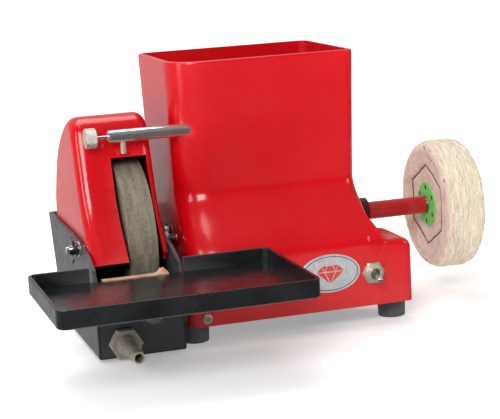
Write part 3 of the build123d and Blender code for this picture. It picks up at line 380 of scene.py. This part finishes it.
def piece(name, verts, faces, material, body, replaces=(), sharp=40.0):
    """Mesh object of the machine that rides a body and may stand for CAD nodes."""
    mesh = bpy.data.meshes.new(name)
    mesh.from_pydata([tuple(v) for v in verts], [], faces)
    work = bmesh.new()
    work.from_mesh(mesh)
    bmesh.ops.remove_doubles(work, verts=work.verts, dist=1e-6)
    bmesh.ops.recalc_face_normals(work, faces=work.faces)
    work.to_mesh(mesh)
    work.free()
    mesh.shade_smooth()
    mesh.set_sharp_from_angle(angle=radians(sharp))
    mesh.materials.append(material)
    made = linked(name, mesh)
    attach(made, body)
    if replaces:
        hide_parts(*replaces)
    return made


def on_axis(centre, axis, along, radius, angle):
    a, b = radius * cos(angle), radius * sin(angle)
    offset = {"X": (along, a, b), "Y": (a, along, b), "Z": (a, b, along)}[axis]
    return centre + Vector(offset)


def lathe(profile, centre, axis, steps=96, closed=False, radius_at=None):
    """Turned surface. profile lists (along, radius); radius_at changes a radius by angle and place."""
    verts, faces = [], []
    count = len(profile)
    for i in range(steps):
        angle = 2 * pi * i / steps
        for along, radius in profile:
            r = radius_at(along, radius, angle) if radius_at else radius
            verts.append(on_axis(centre, axis, along, r, angle))
    last = count if closed else count - 1
    for i in range(steps):
        for j in range(last):
            a, b = i * count + j, i * count + (j + 1) % count
            c, d = ((i + 1) % steps) * count + (j + 1) % count, ((i + 1) % steps) * count + j
            faces.append((a, b, c, d))
    return verts, faces


def merged(parts):
    verts, faces = [], []
    for part_verts, part_faces in parts:
        base = len(verts)
        verts += list(part_verts)
        faces += [tuple(base + i for i in f) for f in part_faces]
    return verts, faces


HEX, HEX_ROUND = 2.0, 1.5        # marks in a turned profile, far beyond any real radius


def hex_radius(flats):
    """Radius of a hexagon at an angle, with corners at 0, 60, 120 degrees."""
    def radius(angle):
        turn = (angle % (pi / 3)) - pi / 6
        return flats / 2 / cos(turn)
    return radius


def hexagonal(flats, turn=0.0, rounded=1.01):
    """radius_at for lathe: a hexagon where the profile says HEX, its corners cut at HEX_ROUND."""
    hexagon = hex_radius(flats)

    def radius_at(_along, radius, angle):
        if radius == HEX:
            return hexagon(angle + turn)
        if radius == HEX_ROUND:
            return min(hexagon(angle + turn), flats / 2 * rounded)
        return radius
    return radius_at


# ---------------------------------------------------------------- buff
PLIES = 26
BUFF_HALF = (BUFF_HIGH.x - BUFF_LOW.x) / 2
BUFF_MID = Vector(((BUFF_HIGH.x + BUFF_LOW.x) / 2, SHAFT.y, SHAFT.z))
HUB_HALF = (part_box("buff_hub_discs")[1].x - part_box("buff_hub_discs")[0].x) / 2 - 1.5 * MM
SEAT_R, HUB_R = 5.5 * MM, 21 * MM
STITCH_R, OUTER_STITCH_R = 37 * MM, 54 * MM
FLANK_SHARE = 0.36               # share of the skin's outline that each flank takes
EDGE_R = 9 * MM


def hexagon_gap(radius, angle, corner_r):
    """Distance of a point from a sewn hexagon, whose corners are at the top and bottom."""
    turn = ((angle - pi / 2) % (pi / 3)) - pi / 6
    return radius * cos(turn) - corner_r * cos(pi / 6)


def rim_place(u, angle):
    """Point of the rim: ragged edges of the plies, u from -1 on the left to 1 on the right."""
    x = BUFF_HALF * u
    inset = max(0.0, abs(x) - (BUFF_HALF - EDGE_R))
    r = BUFF_R - EDGE_R + sqrt(max(EDGE_R ** 2 - inset ** 2, 0.0)) - 0.3 * MM
    around = Vector((cos(angle), sin(angle), 0))
    wander = 0.7 * MM * noise.noise(around * 3 + Vector((0, 0, x * 90)))
    place = (x + wander) / (2 * BUFF_HALF) * PLIES
    groove = exp(-((place % 1.0 - 0.5) / 0.17) ** 2)
    lift = noise.noise(around * 5 + Vector((0, 0, floor(place) * 3.7))) * 1.2 * MM
    swell = noise.noise(around * 1.6 + Vector((0, 0, 7.7))) * 1.0 * MM
    fray = noise.noise(around * 60 + Vector((0, 0, x * 900))) * 0.4 * MM
    return x, min(r - groove * 1.1 * MM + lift + swell - 1.1 * MM + fray, BUFF_R)


def flank_x(radius, angle):
    """Distance of the flank from the buff's middle: pressed in at the hub and along the stitches."""
    t = min(max((radius - HUB_R) / (27 * MM), 0.0), 1.0)
    flare = HUB_HALF + (BUFF_HALF - 0.6 * MM - HUB_HALF) * t * t * (3 - 2 * t)
    sewn = exp(-(hexagon_gap(radius, angle, STITCH_R) / (2.0 * MM)) ** 2) * 1.5 * MM
    sewn += exp(-(hexagon_gap(radius, angle, OUTER_STITCH_R) / (1.6 * MM)) ** 2) * 0.7 * MM
    cloth = noise.noise(Vector((radius * 180, cos(angle) * 4, sin(angle) * 4))) * 0.35 * MM
    pressed = 0.0 if radius < HUB_R else min((radius - HUB_R) / (3 * MM), 1.0)
    return flare - (sewn - cloth) * pressed


def buff_place(s, angle):
    """Point of the buff's skin: s runs 0 to 1 from the left bore over the rim to the right bore."""
    if FLANK_SHARE <= s <= 1 - FLANK_SHARE:
        return rim_place((s - FLANK_SHARE) / (1 - 2 * FLANK_SHARE) * 2 - 1, angle)
    side = -1 if s < 0.5 else 1
    t = s / FLANK_SHARE if s < 0.5 else (1 - s) / FLANK_SHARE
    edge_x, edge_r = rim_place(side, angle)
    r = SEAT_R + (edge_r - SEAT_R) * t
    blend = min(max((t - 0.88) / 0.12, 0.0), 1.0)
    return side * min(flank_x(r, angle) * (1 - blend) + abs(edge_x) * blend, BUFF_HALF), r


def make_buff():
    steps, count = ((420, 240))
    verts, faces = [], []
    for i in range(steps):
        angle = 2 * pi * i / steps
        for j in range(count):
            x, r = buff_place(j / (count - 1), angle)
            verts.append(on_axis(BUFF_MID, "X", x, r, angle))
    for i in range(steps):
        for j in range(count):
            k, n = (i + 1) % steps, (j + 1) % count
            faces.append((i * count + j, i * count + n, k * count + n, k * count + j))
    piece("buff_plies", verts, faces, COTTON, "spindle", ["buff_wheel"], 80)


def capsule(start, end, radius, sides=6, rings=3):
    """Short rounded tube from start to end."""
    along = (end - start).normalized()
    across = along.orthogonal().normalized()
    up = along.cross(across)
    length = (end - start).length
    bends = [pi / 2 * k / rings for k in range(rings + 1)]
    profile = [(-radius * cos(bend), radius * sin(bend)) for bend in bends]
    profile += [(length - a, r) for a, r in reversed(profile)]
    verts = [start + along * a + (across * cos(2 * pi * i / sides) + up * sin(2 * pi * i / sides)) * r
             for i in range(sides) for a, r in profile]
    n = len(profile)
    faces = [(i * n + j, i * n + j + 1, ((i + 1) % sides) * n + j + 1, ((i + 1) % sides) * n + j)
             for i in range(sides) for j in range(n - 1)]
    return verts, faces


def stitch_run(side, start, end, count, share, threads):
    """Stitches along a straight line on one flank; start and end are in the wheel's plane."""
    for j in range(count):
        ends = []
        for t in ((j + 0.5 - share / 2) / count, (j + 0.5 + share / 2) / count):
            p = start.lerp(end, t) + Vector((random.uniform(-0.4, 0.4), random.uniform(-0.4, 0.4))) * MM
            r, angle = p.length, atan2(p.y, p.x)
            ends.append(on_axis(BUFF_MID, "X", side * (flank_x(r, angle) + 0.15 * MM), r, angle))
        threads.append(capsule(ends[0], ends[1], 0.68 * MM))


def make_stitches():
    """Dark thread along the inner hexagon, and what is left of it along an outer one."""
    threads = []
    random.seed(4)
    for side in (-1, 1):
        for k in range(6):
            corners = [Vector((cos(a), sin(a))) for a in (pi / 2 + k * pi / 3, pi / 2 + (k + 1) * pi / 3)]
            stitch_run(side, corners[0] * STITCH_R, corners[1] * STITCH_R, 4, 0.9, threads)
            if k in (0, 3):
                stitch_run(side, corners[0] * OUTER_STITCH_R, corners[1] * OUTER_STITCH_R, 9, 0.45, threads)
    verts, faces = merged(threads)
    piece("buff_stitches", verts, faces, THREAD, "spindle")


def flat_plate(outline, holes, thick, bevel):
    """Flat plate with round holes, its edges slightly rounded; z runs through its thickness."""
    data = bpy.data.curves.new("plate", "CURVE")
    data.dimensions, data.fill_mode = "2D", "BOTH"
    data.extrude, data.bevel_depth, data.bevel_resolution = thick / 2 - bevel, bevel, 2
    data.offset = -bevel
    for ring in [outline] + holes:
        spline = data.splines.new("POLY")
        spline.points.add(len(ring) - 1)
        for point, (x, y) in zip(spline.points, ring):
            point.co = (x, y, 0, 1)
        spline.use_cyclic_u = True
    made = linked("plate", data)
    bpy.context.view_layer.update()
    mesh = bpy.data.meshes.new_from_object(made.evaluated_get(bpy.context.evaluated_depsgraph_get()))
    verts, faces = [v.co.copy() for v in mesh.vertices], [tuple(f.vertices) for f in mesh.polygons]
    bpy.data.objects.remove(made)
    return verts, faces


def make_hub_discs():
    """Green fibre discs with a worn, uneven edge and six holes, each closed by a dark brown plug that paints
    the shade down the hole.
    """
    low, high = [Vector(v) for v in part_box("buff_hub_discs")]
    thick, hole_r, ring_r = 1.5 * MM, 2.3 * MM, 15.5 * MM
    ring = [2 * pi * i / 72 for i in range(72)]
    discs, shade_plugs = [], []
    for x, seed in ((low.x + thick / 2, 0.0), (high.x - thick / 2, 9.0)):
        outline = []
        for a in ring:
            worn = noise.noise(Vector((cos(a) * 1.7, sin(a) * 1.7, seed))) * 1.6 * MM
            outline.append(((HUB_R - 1.3 * MM + worn) * cos(a), (HUB_R - 1.3 * MM + worn) * sin(a)))
        centres = [(ring_r * cos(a), ring_r * sin(a)) for a in (pi / 6 + k * pi / 3 for k in range(6))]
        holes = [[(cx + hole_r * cos(a), cy + hole_r * sin(a)) for a in ring[::3]] for cx, cy in centres]
        holes.append([((SEAT_R + 0.1 * MM) * cos(a), (SEAT_R + 0.1 * MM) * sin(a)) for a in ring])
        verts, faces = flat_plate(outline, holes, thick, 0.2 * MM)
        discs.append(([Vector((x + v.z, SHAFT.y + v.x, SHAFT.z + v.y)) for v in verts], faces))
        way = 1 if x < BUFF_MID.x else -1
        # Each hole gets a dark brown plug: painted shade standing for the depth of the hole.
        for cx, cy in centres:
            inner, outer = hole_r - 0.35 * MM, hole_r - 0.02 * MM
            cup = [(0.25 * MM * way, 0.0), (0.25 * MM * way, inner), (-0.35 * MM * way, inner),
                   (-0.35 * MM * way, outer), (0.45 * MM * way, outer), (0.45 * MM * way, 0.0)]
            shade_plugs.append(lathe(cup, Vector((x, SHAFT.y + cx, SHAFT.z + cy)), "X", 24))
    piece("hub_discs", *merged(discs), GREEN, "spindle", ["buff_hub_discs"], 35)
    piece("hub_hole_shade_plugs", *merged(shade_plugs), HOLE_SHADE, "spindle", (), 35)


# ---------------------------------------------------------------- grinding wheel
def make_grinding_wheel():
    """Wheel with a worn, slightly chipped rim."""
    half = (WHEEL_HIGH.x - WHEEL_LOW.x) / 2
    centre = Vector(((WHEEL_HIGH.x + WHEEL_LOW.x) / 2, SHAFT.y, SHAFT.z))
    bore = 16 * MM
    across = [half * (k / 12 - 1) for k in range(25)]
    profile = [(-half, bore + (WHEEL_R - 1.4 * MM - bore) * k / 20) for k in range(21)]
    profile += [(-half + 0.5 * MM, WHEEL_R - 0.7 * MM)]
    profile += [(a * 0.955, WHEEL_R - 0.35 * MM) for a in across]
    profile += [(half - 0.5 * MM, WHEEL_R - 0.7 * MM)]
    profile += [(half, bore + (WHEEL_R - 1.4 * MM - bore) * (20 - k) / 20) for k in range(21)]

    def worn(along, radius, angle):
        if radius < WHEEL_R - 1 * MM:
            return radius
        ring = Vector((cos(angle) * 9, sin(angle) * 9, along * 160))
        grain = noise.noise(Vector((cos(angle) * 75, sin(angle) * 75, along * 1000)))
        chip = max(0.0, noise.noise(ring * 4) - 0.45) * 1.8 * MM if abs(along) > 0.9 * half else 0.0
        return radius + noise.noise(ring) * 0.18 * MM + grain * 0.12 * MM - chip

    verts, faces = lathe(profile, centre, "X", 400, True, worn)
    piece("abrasive_wheel", verts, faces, GRIT, "spindle", ["grinding_wheel"], 50)


# ---------------------------------------------------------------- drip valve
def make_knob():
    """Thumb knob with a diamond knurl."""
    low, high = [Vector(v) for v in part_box("valve_knob")]
    centre = middle("valve_knob")
    half, r = (high.x - low.x) / 2, (high.z - low.z) / 2
    bore = 1.3 * MM
    profile = [(-half, 0.0), (-half, 3.0 * MM), (-half + 0.3 * MM, 3.3 * MM), (-half, 3.6 * MM),
               (-half, r - 1.1 * MM), (-half + 0.9 * MM, r - 0.2 * MM)]
    band = [(-half + 1.2 * MM + (2 * half - 2.4 * MM) * k / 36, r - 0.02 * MM) for k in range(37)]
    profile += band
    profile += [(half - 0.9 * MM, r - 0.2 * MM), (half, r - 1.1 * MM), (half, bore + 1.6 * MM),
                (half, bore), (half - 8 * MM, bore), (half - 8 * MM, 0.0)]
    teeth = 26

    def knurl(along, radius, angle):
        if radius < r - 0.1 * MM:
            return radius
        pitch = 2 * pi * r / teeth
        a = abs(((angle * teeth / (2 * pi) + along / pitch) % 1.0) - 0.5) * 2
        b = abs(((angle * teeth / (2 * pi) - along / pitch) % 1.0) - 0.5) * 2
        return radius - 0.7 * MM * (1 - min(a, b)) ** 2

    verts, faces = lathe(profile, centre, "X", teeth * 10, False, knurl)
    piece("knurled_knob", verts, faces, KNOB_PLATE, "knob", ["valve_knob"], 60)


# ---------------------------------------------------------------- drain
def make_drain():
    """Nylon hose tail: chamfered hexagon, tapered barbs and a hollow tip."""
    low, high = [Vector(v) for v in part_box("drain_fitting")]
    flats = high.z - low.z
    centre = Vector(((low.x + high.x) / 2, 0, (low.z + high.z) / 2))
    hexagon = hexagonal(flats, rounded=1.02)
    tip, back = low.y, high.y
    hex_front, hex_back = high.y - 21.5 * MM, high.y - 13.5 * MM
    thread_r, bore_r, tip_r = 7 * MM, 3.5 * MM, 5.2 * MM

    profile = [(back, bore_r), (back, thread_r - 0.6 * MM)]
    turns = 8
    for k in range(turns):
        y = back + (hex_back - back) * (k + 0.5) / turns
        pitch = (back - hex_back) / turns
        profile += [(y + pitch * 0.25, thread_r), (y - pitch * 0.25, thread_r - 0.7 * MM)]
    profile += [(hex_back, thread_r)]
    profile += [(hex_back, HEX_ROUND), (hex_back - 0.9 * MM, HEX),
                (hex_front + 1.1 * MM, HEX), (hex_front, HEX_ROUND)]
    barbs = 5
    barb_back, barb_front = hex_front - 5 * MM, tip + 5.0 * MM
    profile += [(hex_front - 0.2 * MM, 8.6 * MM), (hex_front - 2.5 * MM, 7.9 * MM), (barb_back, 7.7 * MM)]
    for k in range(barbs):
        t0, t1 = k / barbs, (k + 1) / barbs
        y0, y1 = barb_back + (barb_front - barb_back) * t0, barb_back + (barb_front - barb_back) * t1
        r0, r1 = 7.7 * MM - 2.2 * MM * t0, 7.7 * MM - 2.2 * MM * t1
        profile += [(y0 - 0.3 * MM, r0 - 0.75 * MM), (y0 * 0.45 + y1 * 0.55, r0 - 0.6 * MM), (y1, r1)]
    profile += [(tip + 4.0 * MM, tip_r - 0.35 * MM), (tip + 0.8 * MM, tip_r), (tip, tip_r - 0.5 * MM),
                (tip, bore_r + 0.4 * MM), (tip + 0.6 * MM, bore_r)]

    def body(along, radius, angle):
        if radius in (HEX, HEX_ROUND):
            return hexagon(along, radius, angle)
        return radius + noise.noise(Vector((cos(angle) * 4, along * 500, sin(angle) * 4))) * 0.06 * MM

    verts, faces = lathe(profile, centre, "Y", 180, True, body)
    piece("hose_tail", verts, faces, BEIGE, "machine", ["drain_fitting"], 30)


# ---------------------------------------------------------------- wing nuts
def make_wing_nut(node, body, side):
    """Cast wing nut: turned hub with a hole, two thin rounded ears that lean outwards."""
    low, high = [Vector(v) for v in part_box(node)]
    centre = (low + high) / 2
    seat = low.x if side > 0 else high.x
    span, depth = (high.z - low.z) / 2, high.x - low.x
    origin = Vector((seat, centre.y, centre.z))
    hub = [(0.0, 3.1 * MM), (0.0, 5.2 * MM), (side * 0.4 * MM, 5.4 * MM), (side * depth * 0.8, 4.6 * MM),
           (side * depth * 0.97, 4.0 * MM), (side * depth * 0.97, 3.1 * MM)]
    parts = [lathe(hub, origin, "X", 48, True)]
    for way in (-1, 1):
        verts, faces = [], []
        rows, cols = 14, 20
        for i in range(rows):
            t = i / (rows - 1)
            z = way * (3.6 * MM + (span - 3.7 * MM) * t)
            lean = side * (depth * 0.45 + depth * 0.22 * t)
            width = (3.2 + 1.4 * sin(pi * min(t * 0.9 + 0.1, 1.0))) * MM
            width *= 1 - max(0.0, t - 0.55) ** 2 * 3.6
            thick = (1.35 - 0.35 * t) * MM * (1 - max(0.0, t - 0.8) * 3.2)
            for j in range(cols):
                a = 2 * pi * j / cols
                verts.append(origin + Vector((lean + thick * cos(a), width * sin(a), z)))
        for i in range(rows - 1):
            for j in range(cols):
                n = (j + 1) % cols
                faces.append((i * cols + j, i * cols + n, (i + 1) * cols + n, (i + 1) * cols + j))
        faces.append(tuple(range(cols)))
        faces.append(tuple((rows - 1) * cols + j for j in range(cols)))
        parts.append((verts, faces))
    verts, faces = merged(parts)
    piece(f"cast_{node}", verts, faces, NICKEL_PAINTED_DARK_REFLECTION, body, [node], 45)


# ---------------------------------------------------------------- badge, switch and strip
def ellipse_ring(centre, a_out, b_out, a_in, b_in, back, front, steps=120):
    """Flat oval ring on the front wall."""
    verts = []
    for i in range(steps):
        t = 2 * pi * i / steps
        for a, b, y in ((a_in, b_in, back), (a_in, b_in, front),
                        (a_out, b_out, front), (a_out, b_out, back)):
            verts.append(Vector((centre.x + a * cos(t), y, centre.z + b * sin(t))))
    faces = []
    for i in range(steps):
        near, far = i * 4, (i + 1) % steps * 4
        faces += [(near + j, near + (j + 1) % 4, far + (j + 1) % 4, far + j) for j in range(4)]
    return verts, faces


def prism(points, centre, back, front):
    """Flat shape with straight sides on the front wall; points are x and z in millimetres."""
    n = len(points)
    verts = [Vector((centre.x + x * MM, y, centre.z + z * MM)) for y in (front, back) for x, z in points]
    faces = [tuple(range(n)), tuple(range(2 * n - 1, n - 1, -1))]
    faces += [(i, (i + 1) % n, n + (i + 1) % n, n + i) for i in range(n)]
    return verts, faces


def make_badge():
    """Oval plate with a raised lip, a thin dark ring and a plain cut-gem outline."""
    low, high = [Vector(v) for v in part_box("badge_plate")]
    centre = (low + high) / 2
    a, b = (high.x - low.x) / 2, (high.z - low.z) / 2
    back, front = high.y, low.y
    verts, faces, steps = [], [], 120
    rings = [(1.0, back), (1.0, front + 0.35 * MM), (0.985, front + 0.1 * MM), (0.965, front + 0.1 * MM),
             (0.95, front + 0.3 * MM), (0.6, front + 0.3 * MM), (0.3, front + 0.3 * MM)]
    for scale, y in rings:
        verts += [Vector((centre.x + a * scale * cos(2 * pi * i / steps), y,
                          centre.z + b * scale * sin(2 * pi * i / steps))) for i in range(steps)]
    for k in range(len(rings) - 1):
        for i in range(steps):
            n = (i + 1) % steps
            faces.append((k * steps + i, k * steps + n, (k + 1) * steps + n, (k + 1) * steps + i))
    faces.append(tuple((len(rings) - 1) * steps + i for i in range(steps)))
    faces.append(tuple(range(steps)))
    piece("oval_badge", verts, faces, SILVER, "machine", ["badge_plate"], 30)
    face_y = front + 0.3 * MM
    ring = ellipse_ring(centre, a * 0.93, b * 0.90, a * 0.905, b * 0.865, face_y, face_y - 0.12 * MM)
    piece("badge_ring", *ring, BADGE_DARK, "machine")
    crown, girdle, point = 7.0, 1.5, -9.5
    top = [(-7.5, crown), (-2.5, crown), (2.5, crown), (7.5, crown)]
    wide = [(-12.5, girdle), (-5.0, girdle), (5.0, girdle), (12.5, girdle)]
    facets = [(top[0], top[1], wide[1]), (top[1], top[2], wide[2], wide[1]), (top[2], top[3], wide[2]),
              (top[0], wide[1], wide[0]), (top[3], wide[3], wide[2]),
              (wide[0], wide[1], (0, point)), (wide[1], wide[2], (0, point)),
              (wide[2], wide[3], (0, point))]
    shapes = []
    for facet in facets:
        cx = sum(p[0] for p in facet) / len(facet)
        cz = sum(p[1] for p in facet) / len(facet)
        shrunk = [(cx + (x - cx) * 0.86, cz + (z - cz) * 0.86) for x, z in facet]
        shapes.append(prism(shrunk, centre, face_y, face_y - 0.12 * MM))
    piece("badge_gem", *merged(shapes), BADGE_RED, "machine", (), 20)


def make_switch():
    """Toggle lever with a bat-shaped tip, and a chamfered hexagon nut."""
    pivot = next(Vector(j["pos_m"]) for j in frame["joints"] if j["name"] == "switch_toggle")
    low, _ = [Vector(v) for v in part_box("switch_lever")]
    length, droop = pivot.y - low.y, radians(13)
    ball = 3.3 * MM
    profile = [(ball * cos(pi * k / 16), ball * sin(pi * k / 16)) for k in range(12)]
    stem_start = profile[-1][0]
    for k in range(24):
        t = k / 23
        along = stem_start - (length / cos(droop) + stem_start - 0.2 * MM) * t
        swell = 1.55 + 1.1 * t ** 1.5
        tip = sqrt(max(0.0, 1 - max(0.0, (t - 0.86) / 0.14) ** 2))
        profile.append((along, swell * MM * tip))
    verts, faces = lathe(profile, Vector((0, 0, 0)), "Y", 40)
    turn = Matrix.Rotation(droop, 4, "X")
    verts = [pivot + turn @ v for v in verts]
    piece("bat_lever", verts, faces, CHROME, "toggle", ["switch_lever"], 60)

    low, high = [Vector(v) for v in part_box("switch_nut")]
    centre = Vector(((low.x + high.x) / 2, 0, (low.z + high.z) / 2))
    flats = high.z - low.z
    bore = 6.0 * MM
    profile = [(high.y, bore), (high.y, HEX_ROUND), (high.y - 0.5 * MM, HEX), (low.y + 0.8 * MM, HEX),
               (low.y, HEX_ROUND), (low.y, 7.4 * MM), (low.y + 0.2 * MM, 7.0 * MM), (low.y + 0.5 * MM, bore)]
    verts, faces = lathe(profile, centre, "Y", 120, True, hexagonal(flats))
    piece("hex_nut", verts, faces, NICKEL, "machine", ["switch_nut"], 25)


def make_splash_strip():
    """Rubber strip with a ragged front edge and a torn lump at its right end."""
    low, high = [Vector(v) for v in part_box("splash_strip")]
    cols, rows, thick = 120, 14, 1.1 * MM
    height = high.z - low.z - thick
    depth = high.y - low.y
    lump_x, lump_w = high.x - 4.5 * MM, 3.6 * MM
    top, bottom = [], []
    for i in range(cols):
        x = low.x + (high.x - low.x) * i / (cols - 1)
        ragged = noise.noise(Vector((x * 260, 3.1, 0))) * 0.9 * MM
        for j in range(rows):
            t = j / (rows - 1)
            y = low.y + (1.0 * MM + ragged) * (1 - t) + depth * t
            wave = noise.noise(Vector((x * 90, y * 90, 5))) * 0.2 * MM
            shape = exp(-((x - lump_x) / lump_w) ** 2) * min(max(t * 2.2 - 0.9, 0.0), 1.0)
            crumb = noise.noise(Vector((x * 450, y * 450, 1))) * 1.6 * MM * shape
            rise = min(shape * height * 0.72 + crumb, height)
            top.append(Vector((x, y, low.z + thick - 0.2 * MM + wave + max(rise, 0.0))))
            bottom.append(Vector((x, y, low.z)))
    n = cols * rows
    faces = []
    for i in range(cols - 1):
        for j in range(rows - 1):
            a, b, c, d = i * rows + j, (i + 1) * rows + j, (i + 1) * rows + j + 1, i * rows + j + 1
            faces += [(a, b, c, d), (n + d, n + c, n + b, n + a)]
    border = [i * rows for i in range(cols)] + [(cols - 1) * rows + j for j in range(1, rows)]
    border += [i * rows + rows - 1 for i in range(cols - 2, -1, -1)] + [j for j in range(rows - 2, 0, -1)]
    for k, a in enumerate(border):
        b = border[(k + 1) % len(border)]
        faces.append((a, n + a, n + b, b))
    piece("rubber_strip", top + bottom, faces, TAN, "machine", ["splash_strip"], 50)


def make_buff_nut():
    """Chamfered nut on the buff's end of the spindle."""
    low, high = [Vector(v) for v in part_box("buff_nut")]
    centre = Vector((0, SHAFT.y, SHAFT.z))
    flats = high.y - low.y
    bore = 5.55 * MM
    profile = [(low.x, bore), (low.x, HEX_ROUND), (low.x + 0.9 * MM, HEX), (high.x - 0.9 * MM, HEX),
               (high.x, HEX_ROUND), (high.x, bore + 0.6 * MM), (high.x - 0.6 * MM, bore)]
    verts, faces = lathe(profile, centre, "X", 120, True, hexagonal(flats, pi / 6))
    piece("spindle_nut", verts, faces, STEEL, "spindle", ["buff_nut"], 25)


make_buff()
make_stitches()
make_hub_discs()
make_grinding_wheel()
make_knob()
make_drain()
make_wing_nut("wing_nut_left", "wing_left", -1)
make_wing_nut("wing_nut_right", "wing_right", 1)
make_badge()
make_switch()
make_splash_strip()
make_buff_nut()


# ---------------------------------------------------------------- studio
def softbox(name, place, target, size, watts):
    data = bpy.data.lights.new(name, "AREA")
    data.shape, data.size, data.size_y, data.energy = "RECTANGLE", size[0], size[1], watts
    made = linked(name, data)
    made.location = place
    made.rotation_euler = (Vector(target) - Vector(place)).to_track_quat("-Z", "Y").to_euler()


def make_world():
    """White to the camera; around the object, dim in front and brighter behind and above."""
    world = bpy.data.worlds.new("studio")
    world.use_nodes = True
    tree = world.node_tree
    background = tree.nodes["Background"]
    place = tree.nodes.new("ShaderNodeTexCoord")
    split = tree.nodes.new("ShaderNodeSeparateXYZ")
    behind = tree.nodes.new("ShaderNodeMapRange")
    above = tree.nodes.new("ShaderNodeMapRange")
    total = tree.nodes.new("ShaderNodeMath")
    path = tree.nodes.new("ShaderNodeLightPath")
    seen = tree.nodes.new("ShaderNodeMix")
    tree.links.new(place.outputs["Generated"], split.inputs[0])
    for node, axis, numbers in ((behind, "Y", (0.0, 0.9, 0.03, 0.52)), (above, "Z", (0.2, 1.0, 0.0, 0.22))):
        tree.links.new(split.outputs[axis], node.inputs["Value"])
        for name, number in zip(("From Min", "From Max", "To Min", "To Max"), numbers):
            node.inputs[name].default_value = number
    tree.links.new(behind.outputs["Result"], total.inputs[0])
    tree.links.new(above.outputs["Result"], total.inputs[1])
    tree.links.new(path.outputs["Is Camera Ray"], seen.inputs["Factor"])
    tree.links.new(total.outputs[0], seen.inputs["A"])
    seen.inputs["B"].default_value = 1.0
    tree.links.new(seen.outputs["Result"], background.inputs["Strength"])
    background.inputs["Color"].default_value = (1.0, 1.0, 1.0, 1.0)
    bpy.context.scene.world = world


def make_studio():
    size = 8.0
    mesh = bpy.data.meshes.new("studio_floor")
    corners = [(-size, -size, 0), (size, -size, 0), (size, size, 0), (-size, size, 0)]
    mesh.from_pydata(corners, [], [(0, 1, 2, 3)])
    mesh.materials.append(studio_floor("studio_floor"))
    ground = linked("studio_floor", mesh)
    ground.visible_glossy = False
    make_world()
    softbox("key_softbox", (-1.2, -1.8, 1.4), (0, 0, 0.1), (1.1, 1.1), 39.0)
    softbox("top_softbox", (-0.2, 0.4, 1.7), (0, 0, 0.1), (1.3, 1.0), 13.0)
    softbox("left_strip", (-1.5, -0.35, 0.5), (0, 0, 0.12), (0.35, 1.1), 5.0)
    softbox("right_fill", (1.6, -1.2, 0.9), (0, 0, 0.1), (0.8, 0.8), 7.0)
    bpy.context.scene.view_settings.view_transform = "Standard"


def make_camera():
    """The view of the photograph: from the front left, a little above, with a long lens."""
    azimuth, pitch, roll = radians(16.72), radians(10.76), radians(3.12)
    place = Vector((-0.4045, -1.2677, 0.3581))
    forward = Vector((sin(azimuth) * cos(pitch), cos(azimuth) * cos(pitch), -sin(pitch)))
    level = Vector((cos(azimuth), -sin(azimuth), 0))
    upward = level.cross(forward)
    right = level * cos(roll) - upward * sin(roll)
    up = level * sin(roll) + upward * cos(roll)
    data = bpy.data.cameras.new("camera")
    data.sensor_width, data.lens = 36.0, 114.96
    data.clip_start, data.clip_end = 0.05, 30.0
    camera = linked("camera", data)
    camera.matrix_world = Matrix((
        (right.x, up.x, -forward.x, place.x), (right.y, up.y, -forward.y, place.y),
        (right.z, up.z, -forward.z, place.z), (0, 0, 0, 1)))
    bpy.context.scene.camera = camera


make_camera()
make_studio()
